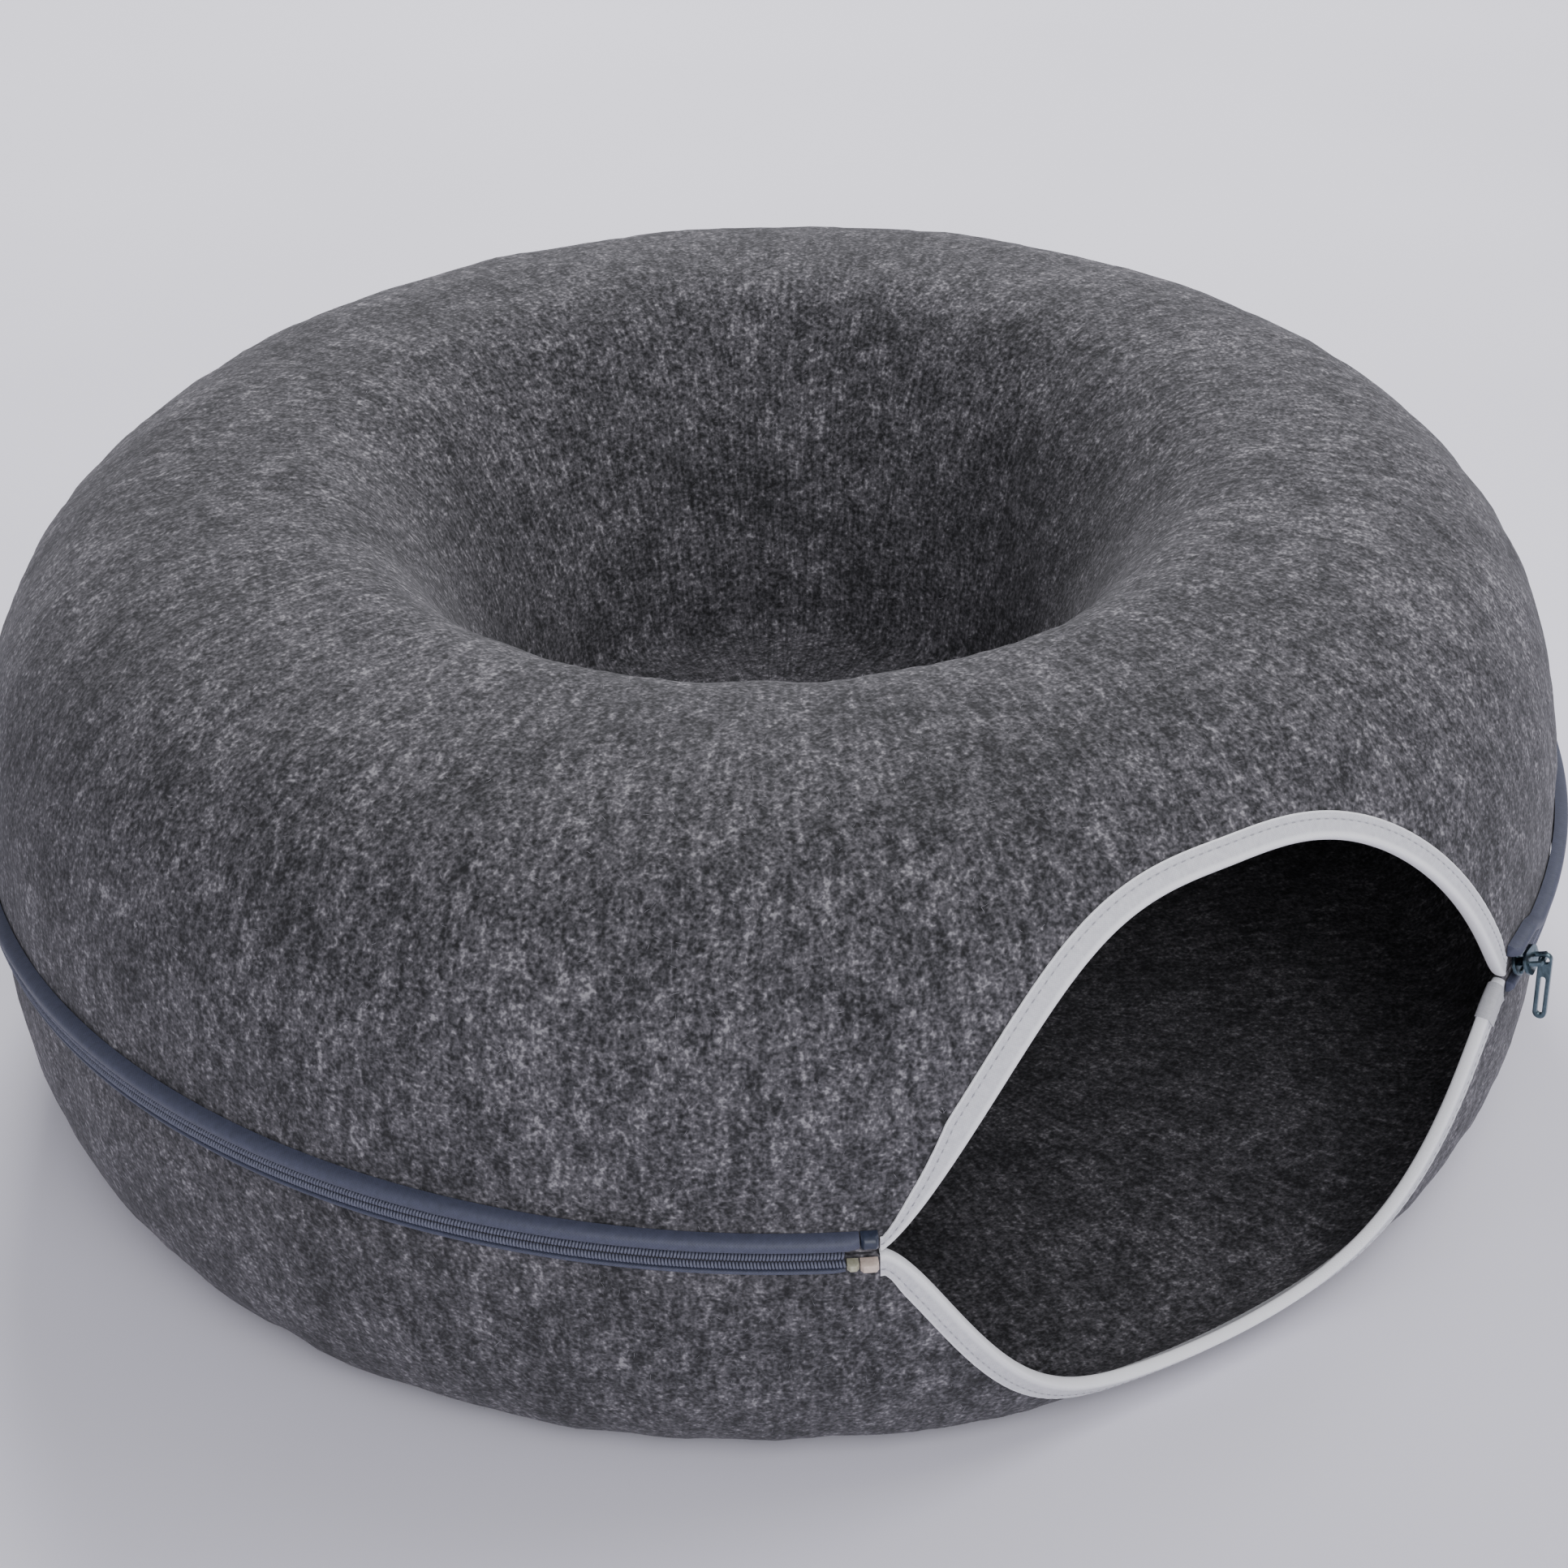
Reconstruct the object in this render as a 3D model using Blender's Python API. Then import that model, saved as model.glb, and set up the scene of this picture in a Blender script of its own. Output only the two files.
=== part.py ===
"""Felt cat cave: a hollow felt ring with a sunken middle, closed round its outside by a zip.

Two heat-moulded felt shells meet at the zip. The upper one runs from its edge over the dome and
down the funnel of the middle well to the well's floor, in one piece of felt. The lower one is a
shallow bowl with a flat bottom. An almond-shaped entrance, half in each shell, faces -Y, and light
ribbon is folded over its edge. The zip runs from one corner of the entrance round the back to the
other: two tapes, a closed coil chain, a slider with a hanging pull, a retainer box and its pin.

Units are metres, +Z is up, and the origin is the middle of the flat bottom. Angles are measured
round Z from +X. A shell is described by its outer face: a point on it is given by its angle and by
its run, the length along the face from the zip line, up the dome or down the bowl.
"""

import math
from functools import lru_cache

import bmesh
import bpy
from mathutils import Matrix, Vector

# Shells
OUTER_RADIUS = 0.300
HEIGHT = 0.242
ZIP_HEIGHT = 0.108  # mean height of the zip line
ZIP_WAVE = 0.004  # the zip line rises and dips by this much, twice in a turn
ZIP_WAVE_ANGLE = math.radians(10)  # where it is highest
FELT = 0.0038  # thickness of the felt
PARTING = 0.0008  # gap between the two felt edges at the zip line
CROWN_RADIUS = 0.180  # where the dome is highest
DOME_POWER = 2.54  # 2 would make the dome's section an ellipse, more makes it squarer
WELL_RADIUS = 0.0936  # radius that the well's wall closes in on
WELL_TAPER = 0.222  # depth at which the wall would stand upright
WELL_POWER = 2.11
WELL_FLOOR = 0.110  # height of the well's floor
WELL_CORNER = 0.014  # size of the rounded corner between wall and floor
WELL_DISH = 0.002  # how far the floor sags in its middle
BASE_RADIUS = 0.249  # radius of the flat bottom
BASE_POWER = 2.785

# Entrance
ENTRANCE_ANGLE = math.radians(-89.7)
ENTRANCE_HALF = math.radians(26.75)  # from its middle to either corner
UPPER_RISE = 0.1077  # run from the zip line to the top of the entrance
UPPER_FULLNESS = 2.83
UPPER_FLARE = 1.41  # over 1, the edge sweeps out into the corners
LOWER_DROP = 0.0907
LOWER_FULLNESS = 3.43
LOWER_FLARE = 1.88
LOWER_SKEW = 0.066  # how far the lowest part lies towards the left, as a share of the half width
CORNER_GAP = 0.0006  # height at which the entrance ends in either corner
LEAN_OVER = 0.015  # distance from a corner over which the ribbon comes to lie square to the lip

# Ribbon folded over the entrance's edge
RIBBON = 0.0008  # thickness
RIBBON_GAP = 0.00055  # between ribbon and felt
UPPER_LEG_LEFT = 0.0096  # how far the upper ribbon reaches over the felt at the left corner
UPPER_LEG_RIGHT = 0.0076
NARROW = 0.5  # share of that reach left at the left corner itself
NARROW_OVER = 0.030  # distance from the left corner over which the ribbon gains its full reach
LOWER_LEG = 0.0078
TAIL_START = 0.0015  # drop of the lip where the upper ribbon's end laps over the lower ribbon
TAIL_END = 0.0120

# Zip
GAP = 0.00045  # between the zip's pieces, and between them and the felt
TAPE_WIDTH = 0.0056  # strip of the upper tape that shows
TAPE_BULGE = 0.0052  # how far its roll stands off the felt
LOWER_TAPE_WIDTH = 0.0020
LOWER_TAPE_BULGE = 0.0030
CHAIN_WIDTH = 0.0066
CHAIN_BULGE = 0.0042
CORNER_CLEAR = 0.0008  # from the end of the ribbon to the first piece of the zip
TAPE_FLARE = 0.0045  # width of either tape beside the slider
BOX_LENGTH = 0.0058
BOX_TOP = -0.0015  # the box and the pin hang below the zip line, on the lower tape's side
BOX_BOTTOM = -0.0047
BOX_BULGE = 0.0046
PIN_LENGTH = 0.0038
PIN_BOTTOM = -0.0043
PATCH_LENGTH = 0.0056
SLIDER_START = 0.0026  # from the first piece of the zip to the slider
SLIDER_LENGTH = 0.0130
SLIDER_HEIGHT = 0.0096
SLIDER_PLATE = 0.0012
SLIDER_DEPTH = 0.0056  # from one plate's outer face to the other's
SLIDER_STAND = 0.0022  # from the felt to the middle of the slider's back
SLIDER_RAISE = 0.0020  # how far the slider sits above the zip line
SLIDER_TILT = math.radians(20)  # its face looks this far up
BRIDGE_SPAN = 0.0070  # between the middles of the two legs of the bridge that holds the pull
BRIDGE_BAR = 0.0014  # thickness of the bridge
BRIDGE_REACH = 0.0050  # from the slider's face to the middle of the bridge
PULL_LENGTH = 0.0280
PULL_WIDTH = 0.0050
PULL_THICKNESS = 0.0018
PULL_EYE = 0.0034  # diameter of the eye that hangs on the bridge
PULL_SLOT = 0.0165
PULL_SLOT_WIDTH = 0.0020
PULL_RAIL = 0.0017  # width of metal left below the slot

# Steps
ENTRANCE_STEPS = 26
RING_STEPS = 44  # round the rest of the ring
FIRST_STEP = math.radians(1.5)  # of those, the one beside each corner
DOME_STEPS = 8
WELL_STEPS = 6
CORNER_STEPS = 2
FLOOR_STEPS = 2
BOWL_STEPS = 7
PROFILE_SAMPLES = 120
ROUND_STEPS = 6

FELT_GREY = (0.105, 0.102, 0.115)
RIBBON_SILVER = (0.56, 0.56, 0.60)
TAPE_SLATE = (0.085, 0.095, 0.135)
CHAIN_SLATE = (0.050, 0.055, 0.080)
PATCH_NAVY = (0.028, 0.033, 0.050)
BOX_BEIGE = (0.52, 0.46, 0.41)
PIN_OLIVE = (0.36, 0.36, 0.31)
GUNMETAL = (0.10, 0.14, 0.17)


def clear_scene():
    """Remove what the scene holds."""
    for thing in list(bpy.data.objects):
        bpy.data.objects.remove(thing, do_unlink=True)


def material(name, colour, roughness, metallic=0.0):
    """A plain Principled material."""
    made = bpy.data.materials.new(name)
    made.use_nodes = True
    shader = made.node_tree.nodes["Principled BSDF"]
    shader.inputs["Base Color"].default_value = (*colour, 1.0)
    shader.inputs["Roughness"].default_value = roughness
    shader.inputs["Metallic"].default_value = metallic
    return made


def placed(name, mesh, finish, smooth=True):
    """Put a mesh in the scene under its piece's name."""
    mesh.materials.append(finish)
    if smooth:
        mesh.shade_smooth()
        mesh.set_sharp_from_angle(angle=math.radians(40))
    thing = bpy.data.objects.new(name, mesh)
    bpy.context.scene.collection.objects.link(thing)
    return thing


def mesh_of(name, points, faces):
    """A mesh from points and faces, its normals made to agree."""
    mesh = bpy.data.meshes.new(name)
    mesh.from_pydata([tuple(point) for point in points], [], faces)
    body = bmesh.new()
    body.from_mesh(mesh)
    bmesh.ops.recalc_face_normals(body, faces=body.faces)
    body.to_mesh(mesh)
    body.free()
    return mesh


def zip_height(angle):
    """Height of the zip line at this angle."""
    return ZIP_HEIGHT + ZIP_WAVE * math.cos(2 * (angle - ZIP_WAVE_ANGLE))


def quadrant(power, start, end, samples):
    """Pairs (cos, sin) of a superellipse's quadrant between two fractions of it."""
    for k in range(samples + 1):
        turn = math.pi / 2 * (start + (end - start) * k / samples)
        yield max(math.cos(turn), 0.0) ** (2 / power), math.sin(turn) ** (2 / power)


def well_end():
    """Fraction of the well's quadrant at which its rounded corner starts."""
    across = 1 - (HEIGHT - WELL_FLOOR - WELL_CORNER) / WELL_TAPER
    return math.acos(across ** (WELL_POWER / 2)) / (math.pi / 2)


def upper_parts(angle, samples):
    """The upper shell's section as (radius, height) points: dome, well wall, corner and floor."""
    base = zip_height(angle)
    dome = [
        (CROWN_RADIUS + (OUTER_RADIUS - CROWN_RADIUS) * c, base + (HEIGHT - base) * s)
        for c, s in quadrant(DOME_POWER, 0, 1, samples)
    ]
    wall = [
        (CROWN_RADIUS - (CROWN_RADIUS - WELL_RADIUS) * s, HEIGHT - WELL_TAPER * (1 - c))
        for c, s in quadrant(WELL_POWER, 0, well_end(), samples)
    ]
    foot = wall[-1][0]
    corner = []
    for k in range(samples + 1):
        t = k / samples
        corner.append((foot - WELL_CORNER * t * t, WELL_FLOOR + WELL_CORNER * (1 - t) ** 2))
    rim = corner[-1][0]
    floor = [
        (rim * (1 - k / samples), WELL_FLOOR - WELL_DISH * math.sin(math.pi / 2 * k / samples) ** 2)
        for k in range(samples + 1)
    ]
    return dome, wall, corner, floor


def lower_parts(angle, samples):
    """The lower shell's section as (radius, height) points: bowl wall and flat bottom."""
    base = zip_height(angle)
    bowl = [
        (BASE_RADIUS + (OUTER_RADIUS - BASE_RADIUS) * c, base * (1 - s))
        for c, s in quadrant(BASE_POWER, 0, 1, samples)
    ]
    bottom = [(BASE_RADIUS * (1 - k / samples), 0.0) for k in range(samples + 1)]
    return bowl, bottom


def with_runs(points):
    """Each point with its run from the first one, repeats left out."""
    runs = [0.0]
    kept = [points[0]]
    for point in points[1:]:
        step = math.dist(point, kept[-1])
        if step > 1e-7:
            runs.append(runs[-1] + step)
            kept.append(point)
    return runs, kept


@lru_cache(maxsize=None)
def section(upper, angle):
    """One shell's section at an angle, as runs and their (radius, height) points."""
    parts = (upper_parts if upper else lower_parts)(angle, PROFILE_SAMPLES)
    return with_runs([point for part in parts for point in part])


@lru_cache(maxsize=None)
def part_ends(upper, angle):
    """The run at which each part of a section ends."""
    parts = (upper_parts if upper else lower_parts)(angle, PROFILE_SAMPLES)
    ends = []
    total = 0.0
    for part in parts:
        total += with_runs(list(part))[0][-1]
        ends.append(total)
    return ends


def at_run(upper, angle, run):
    """(radius, height) on a section at this run. A run below 0 goes straight past the zip line."""
    runs, points = section(upper, angle)
    if run <= 0:
        sign = 1 if upper else -1
        return points[0][0], points[0][1] + sign * run
    low, high = 0, len(runs) - 1
    while high - low > 1:
        middle = (low + high) // 2
        if runs[middle] <= run:
            low = middle
        else:
            high = middle
    share = min((run - runs[low]) / (runs[high] - runs[low]), 1.0)
    (r0, z0), (r1, z1) = points[low], points[high]
    return r0 + (r1 - r0) * share, z0 + (z1 - z0) * share


def on_face(upper, angle, run):
    """Point of a shell's outer face."""
    radius, height = at_run(upper, angle, run)
    return Vector((radius * math.cos(angle), radius * math.sin(angle), height))


def normal_at(upper, angle, run):
    """Outward normal of a shell's outer face."""
    step = 0.0015
    turn = math.radians(0.3)
    along = on_face(upper, angle, run + step) - on_face(upper, angle, run - step)
    around = on_face(upper, angle + turn, run) - on_face(upper, angle - turn, run)
    normal = around.cross(along) if upper else along.cross(around)
    return normal.normalized()


def turn_of(length):
    """The angle that a length takes up round the zip line."""
    return length / OUTER_RADIUS


def share_across(angle):
    """Place across the entrance, from -1 at its left corner to 1 at its right one."""
    return (angle - ENTRANCE_ANGLE) / ENTRANCE_HALF


def lip_run(upper, angle):
    """Run of the entrance's finished edge at this angle."""
    across = max(-1.0, min(share_across(angle), 1.0))
    if upper:
        run = UPPER_RISE * (1 - abs(across) ** UPPER_FULLNESS) ** UPPER_FLARE
    else:
        skewed = min(abs(across + LOWER_SKEW * (1 - across * across)), 1.0)
        run = LOWER_DROP * (1 - skewed**LOWER_FULLNESS) ** LOWER_FLARE
    return max(run, CORNER_GAP / 2)


def in_entrance(angle):
    """Whether the ribbon reaches this angle."""
    return abs(share_across(angle)) < 1 + 1e-6


def leg(upper, angle):
    """How far the ribbon reaches over either face of the felt at this angle."""
    if not upper:
        return LOWER_LEG
    share = (1 + max(-1.0, min(share_across(angle), 1.0))) / 2
    full = UPPER_LEG_LEFT + (UPPER_LEG_RIGHT - UPPER_LEG_LEFT) * share
    from_left = min(share * 2 * ENTRANCE_HALF * OUTER_RADIUS / NARROW_OVER, 1.0)
    return full * (NARROW + (1 - NARROW) * from_left * from_left)


def lip_lean(upper, angle):
    """How far the way out of the felt across the lip leans from upright, in radians."""
    turn = math.radians(0.2)
    rise = lip_run(upper, angle + turn) - lip_run(upper, angle - turn)
    return math.atan2(rise, 2 * turn * at_run(upper, angle, lip_run(upper, angle))[0])


def felt_run(upper, angle):
    """Run of the felt's own edge, which the ribbon's fold or the zip covers."""
    if not in_entrance(angle):
        return PARTING / 2
    return lip_run(upper, angle) + (RIBBON + RIBBON_GAP) / math.cos(lip_lean(upper, angle))


def from_edge(upper, angle, reach):
    """(angle, run) at a reach past the felt's edge, along the ribbon's section at this angle."""
    if not in_entrance(angle):
        return angle, felt_run(upper, angle) - reach
    corner = (ENTRANCE_HALF - abs(angle - ENTRANCE_ANGLE)) * OUTER_RADIUS
    lean = lip_lean(upper, angle) * min(max(corner / LEAN_OVER, 0.0), 1.0)
    edge = felt_run(upper, angle)
    radius = at_run(upper, angle, edge)[0]
    return angle + math.sin(lean) * reach / radius, edge - math.cos(lean) * reach


def entrance_angles():
    """Angles across the entrance, closer together towards its corners."""
    for k in range(ENTRANCE_STEPS + 1):
        across = -math.cos(math.pi * k / ENTRANCE_STEPS)
        eased = 0.75 * across + 0.25 * across**3
        yield ENTRANCE_ANGLE + ENTRANCE_HALF * eased


def ring_angles():
    """Angles round the rest of the ring, from the right end of the entrance to the left one."""
    reach = ENTRANCE_HALF + FIRST_STEP
    start = ENTRANCE_ANGLE + reach
    end = ENTRANCE_ANGLE - reach + 2 * math.pi
    return [start + (end - start) * k / RING_STEPS for k in range(RING_STEPS + 1)]


def stations(upper, angle):
    """(angle, run) of a shell's rows: three beside its edge, and the rest from there inwards."""
    counts = (DOME_STEPS, WELL_STEPS, CORNER_STEPS, FLOOR_STEPS) if upper else (BOWL_STEPS, 1)
    rows = [from_edge(upper, angle, -leg(upper, angle) * k / 2) for k in range(3)]
    start_angle, start = rows[-1]
    for k, (end, count) in enumerate(zip(part_ends(upper, angle), counts)):
        for step in range(1, count + 1):
            share = step / count
            there = start_angle + (angle - start_angle) * share if k == 0 else angle
            rows.append((there, start + (end - start) * share))
        start = end
    return rows[:-1]


def shell(name, upper, finish):
    """One felt shell: a grid of rows and columns on each face of the felt, joined at its edge."""
    angles = list(entrance_angles()) + ring_angles()
    nodes = [stations(upper, angle) for angle in angles]
    rows, columns = len(nodes[0]), len(nodes)
    points = []
    for depth in (0.0, FELT):
        for column in nodes:
            points += [on_face(upper, *node) - normal_at(upper, *node) * depth for node in column]
        side = depth if upper else -depth
        middle_height = at_run(upper, angles[0], part_ends(upper, angles[0])[-1])[1]
        points.append(Vector((0, 0, middle_height - side)))
    inside = rows * columns + 1
    faces = []
    for k in range(columns):
        here, beside = k * rows, (k + 1) % columns * rows
        for row in range(rows - 1):
            face = (here + row, beside + row, beside + row + 1, here + row + 1)
            faces += [face, tuple(corner + inside for corner in reversed(face))]
        face = (here + rows - 1, beside + rows - 1, inside - 1)
        faces += [face, tuple(corner + inside for corner in reversed(face))]
        faces.append((here, here + inside, beside + inside, beside))
    return placed(name, mesh_of(name, points, faces), finish)


def swept(name, sections, finish):
    """A solid from a row of like sections, each a loop of points, capped at its two ends."""
    size = len(sections[0])
    points = [point for loop in sections for point in loop]
    faces = [tuple(range(size))[::-1], tuple(range(len(points) - size, len(points)))]
    for k in range(len(sections) - 1):
        here, ahead = k * size, (k + 1) * size
        for j in range(size):
            nearby = (j + 1) % size
            faces.append((here + j, here + nearby, ahead + nearby, ahead + j))
    return placed(name, mesh_of(name, points, faces), finish)


def ribbon_section(upper, angle, lap=0.0):
    """A loop round the ribbon's U: outer leg, fold over the felt's edge, inner leg, and back."""

    def at(reach, depth):
        """A point reach metres out past the felt's edge and depth metres below the outer face."""
        there = from_edge(upper, angle, reach)
        return on_face(upper, *there) - normal_at(upper, *there) * depth

    near = RIBBON_GAP + lap
    reach = leg(upper, angle)
    legs = (-reach, -reach / 2, 0.0)
    faces = []
    for far in (near + RIBBON, near):
        face = [at(back, -far) for back in legs]
        face += [at(far * 0.8, -far * 0.4), at(far, FELT / 2), at(far * 0.8, FELT + far * 0.4)]
        face += [at(back, FELT + far) for back in reversed(legs)]
        faces.append(face)
    return faces[0] + faces[1][::-1]


def ribbon(name, upper, finish):
    """The ribbon over one shell's half of the entrance."""
    return swept(name, [ribbon_section(upper, angle) for angle in entrance_angles()], finish)


def ribbon_tail(name, finish):
    """The upper ribbon's end, folded over the lower ribbon below the right corner."""
    sections = [
        ribbon_section(False, angle, RIBBON + RIBBON_GAP)
        for angle in entrance_angles()
        if angle > ENTRANCE_ANGLE and TAIL_START < lip_run(False, angle) < TAIL_END
    ]
    return swept(name, sections, finish)


def strip_section(angle, low, high, bulge, power=2.5):
    """A flat-backed rounded section beside the zip line, from low to high above it."""
    out = Vector((math.cos(angle), math.sin(angle), 0))
    points = []
    for k in range(ROUND_STEPS + 1):
        across = -math.cos(math.pi * k / ROUND_STEPS)
        depth = GAP + bulge * max(1 - abs(across) ** power, 0.0) ** (1 / power)
        height = (low + high) / 2 + (high - low) / 2 * across
        upper = height > 0
        points.append(on_face(upper, angle, abs(height)) + out * depth)
    return points


def zip_angles(start, end):
    """Angles along the zip from start to end, with the shells' columns between them."""
    clear = math.radians(0.5)
    return [start] + [a for a in ring_angles() if start + clear < a < end - clear] + [end]


def strip(name, start, end, low, high, bulge, finish, power=2.5):
    """A rounded strip that follows the zip line from one angle to another."""
    sections = [strip_section(a, low, high, bulge, power) for a in zip_angles(start, end)]
    return swept(name, sections, finish)


def tape(name, side, start, slider_end, end, width, bulge, finish):
    """A tape beside the chain, on the side 1 or -1, that makes way for the slider."""
    by_chain = CHAIN_WIDTH / 2 + GAP
    by_slider = SLIDER_HEIGHT / 2 * math.cos(SLIDER_TILT) + side * SLIDER_RAISE + GAP
    if side > 0:
        by_slider += SLIDER_DEPTH * math.sin(SLIDER_TILT)
    by_slider = max(by_slider, by_chain)
    angles = [(angle, by_slider, by_slider + TAPE_FLARE) for angle in (start, slider_end)]
    angles += [(a, by_chain, by_chain + width) for a in zip_angles(slider_end + turn_of(0.004), end)]
    sections = []
    for angle, near, far in angles:
        low, high = sorted((side * near, side * far))
        sections.append(strip_section(angle, low, high, bulge))
    return swept(name, sections, finish)


def plate(outline, low, high):
    """Points and faces of a flat plate with this outline, between two depths."""
    count = len(outline)
    points = [(x, y, low) for x, y in outline] + [(x, y, high) for x, y in outline]
    faces = [tuple(range(count))[::-1], tuple(range(count, 2 * count))]
    for k in range(count):
        after = (k + 1) % count
        faces.append((k, after, count + after, count + k))
    return points, faces


def block(middle, size):
    """Points and faces of a box from its middle and its size."""
    (x, y, z), (a, b, c) = middle, (side / 2 for side in size)
    return plate([(x - a, y - b), (x + a, y - b), (x + a, y + b), (x - a, y + b)], z - c, z + c)


def stadium(width, length, steps=ROUND_STEPS):
    """The outline of a slot with round ends, long in y, about the origin."""
    radius = width / 2
    outline = []
    for end, turn in ((1, 0.0), (-1, math.pi)):
        for k in range(steps + 1):
            angle = turn + math.pi * k / steps
            outline.append(
                (radius * math.cos(angle), end * (length / 2 - radius) + radius * math.sin(angle))
            )
    return outline


def cutter(name, shape, frame):
    """A hidden solid that a Boolean cuts with."""
    mesh = mesh_of(name, *shape)
    mesh.transform(frame)
    thing = bpy.data.objects.new(name, mesh)
    bpy.context.scene.collection.objects.link(thing)
    thing.hide_render = True
    thing.display_type = "WIRE"
    return thing


def combine(thing, other, operation):
    """Join or cut a piece with a hidden solid."""
    change = thing.modifiers.new(operation.lower(), "BOOLEAN")
    change.operation = operation
    change.object = other


def slider_frame(angle):
    """Matrix at the middle of the slider's back: X along the zip, Z square out of its face."""
    out = Vector((math.cos(angle), math.sin(angle), 0))
    along = Vector((-math.sin(angle), math.cos(angle), 0))
    frame = Matrix((along, Vector((0, 0, 1)), out)).transposed().to_4x4()
    frame.translation = on_face(True, angle, SLIDER_RAISE) + out * SLIDER_STAND
    return frame @ Matrix.Rotation(-SLIDER_TILT, 4, "X")


def slider(name, frame, finish):
    """The slider: two plates joined by a post, and the bridge that carries the pull."""
    a, b = SLIDER_LENGTH / 2, SLIDER_HEIGHT / 2
    cut = SLIDER_HEIGHT * 0.3
    shield = [
        (-a, -b + cut), (-a + cut, -b), (a - cut, -b * 0.85), (a, -b * 0.5),
        (a, b * 0.5), (a - cut, b * 0.85), (-a + cut, b), (-a, b - cut),
    ]
    mesh = mesh_of(name, *plate(shield, SLIDER_DEPTH - SLIDER_PLATE, SLIDER_DEPTH))
    mesh.transform(frame)
    body = placed(name, mesh, finish, smooth=False)
    bar = SLIDER_DEPTH + BRIDGE_REACH
    upright = (BRIDGE_BAR, BRIDGE_BAR, BRIDGE_REACH + SLIDER_PLATE / 2)
    post = (a, SLIDER_PLATE * 2, SLIDER_DEPTH - SLIDER_PLATE)
    shapes = {
        "back_plate": plate(shield, 0.0, SLIDER_PLATE),
        "post": block((0, 0, SLIDER_DEPTH / 2), post),
        "front_leg": block((-BRIDGE_SPAN / 2, 0, bar - upright[2] / 2), upright),
        "rear_leg": block((BRIDGE_SPAN / 2, 0, bar - upright[2] / 2), upright),
        "bar": block((0, 0, bar), (BRIDGE_SPAN + BRIDGE_BAR, BRIDGE_BAR, BRIDGE_BAR)),
    }
    for part, shape in shapes.items():
        combine(body, cutter(f"{name}_{part}", shape, frame), "UNION")
    return body


def pull_frame(slider_at):
    """Matrix at the middle of the pull's eye: X out from the shell, Y up, Z along the zip."""
    along = slider_at.to_3x3().col[0]
    up = Vector((0, 0, 1))
    frame = Matrix((up.cross(-along), up, -along)).transposed().to_4x4()
    corner = BRIDGE_BAR / 2 * (math.cos(SLIDER_TILT) + math.sin(SLIDER_TILT))
    beside = BRIDGE_BAR / 2 * (math.cos(SLIDER_TILT) - math.sin(SLIDER_TILT))
    hang = math.sqrt((PULL_EYE / 2 - GAP) ** 2 - beside**2) - corner
    frame.translation = slider_at @ Vector((0, 0, SLIDER_DEPTH + BRIDGE_REACH)) - up * hang
    return frame


def pull(name, frame, finish):
    """The pull: a flat strap, square to the zip, that hangs by its eye on the slider's bridge."""
    half = PULL_THICKNESS / 2
    below = (PULL_WIDTH - PULL_LENGTH) / 2
    strap = [(x, y + below) for x, y in stadium(PULL_WIDTH, PULL_LENGTH)]
    mesh = mesh_of(name, *plate(strap, -half, half))
    mesh.transform(frame)
    body = placed(name, mesh, finish, smooth=False)
    lowest = PULL_WIDTH / 2 - PULL_LENGTH + PULL_RAIL + PULL_SLOT / 2
    slot = [(x, y + lowest) for x, y in stadium(PULL_SLOT_WIDTH, PULL_SLOT)]
    holes = {"eye": stadium(PULL_EYE, PULL_EYE * 1.001), "slot": slot}
    for hole, outline in holes.items():
        shape = plate(outline, -PULL_THICKNESS, PULL_THICKNESS)
        combine(body, cutter(f"{name}_{hole}", shape, frame), "DIFFERENCE")
    return body


def zip_pieces():
    """Everything along the zip line."""
    slate = material("tape", TAPE_SLATE, 0.75)
    coil = material("coil", CHAIN_SLATE, 0.5)
    navy = material("tape_end", PATCH_NAVY, 0.45)
    beige = material("retainer", BOX_BEIGE, 0.45)
    olive = material("pin", PIN_OLIVE, 0.45)
    metal = material("gunmetal", GUNMETAL, 0.35, 1.0)
    reach = ENTRANCE_HALF + turn_of(CORNER_CLEAR)
    right = ENTRANCE_ANGLE + reach
    left = ENTRANCE_ANGLE - reach + 2 * math.pi
    gap = turn_of(GAP)
    slider_end = right + turn_of(SLIDER_START + SLIDER_LENGTH)
    box_start = left - turn_of(BOX_LENGTH)
    pin_start = box_start - gap - turn_of(PIN_LENGTH)
    patch_start = left - turn_of(PATCH_LENGTH)
    half = CHAIN_WIDTH / 2
    tape("upper_tape", 1, right, slider_end, patch_start - gap, TAPE_WIDTH, TAPE_BULGE, slate)
    tape(
        "lower_tape", -1, right + turn_of(SLIDER_START), slider_end, pin_start - gap,
        LOWER_TAPE_WIDTH, LOWER_TAPE_BULGE, slate,
    )
    low = half + GAP
    strip("tape_end_patch", patch_start, left, low, low + TAPE_WIDTH, TAPE_BULGE, navy)
    strip("zip_chain", slider_end + gap, pin_start - gap, -half, half, CHAIN_BULGE, coil)
    strip("retainer_box", box_start, left, BOX_BOTTOM, BOX_TOP, BOX_BULGE, beige, power=5)
    strip(
        "insertion_pin", pin_start, box_start - gap, PIN_BOTTOM, BOX_TOP, CHAIN_BULGE, olive,
        power=4,
    )
    slider_at = slider_frame(slider_end - turn_of(SLIDER_LENGTH / 2))
    slider("zip_slider", slider_at, metal)
    pull("zip_pull", pull_frame(slider_at), metal)


def main():
    """Build every piece."""
    clear_scene()
    felt = material("felt", FELT_GREY, 0.95)
    silver = material("ribbon", RIBBON_SILVER, 0.7)
    shell("upper_shell", True, felt)
    shell("lower_shell", False, felt)
    ribbon("upper_binding", True, silver)
    ribbon("lower_binding", False, silver)
    ribbon_tail("binding_tail", silver)
    zip_pieces()


main()
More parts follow.
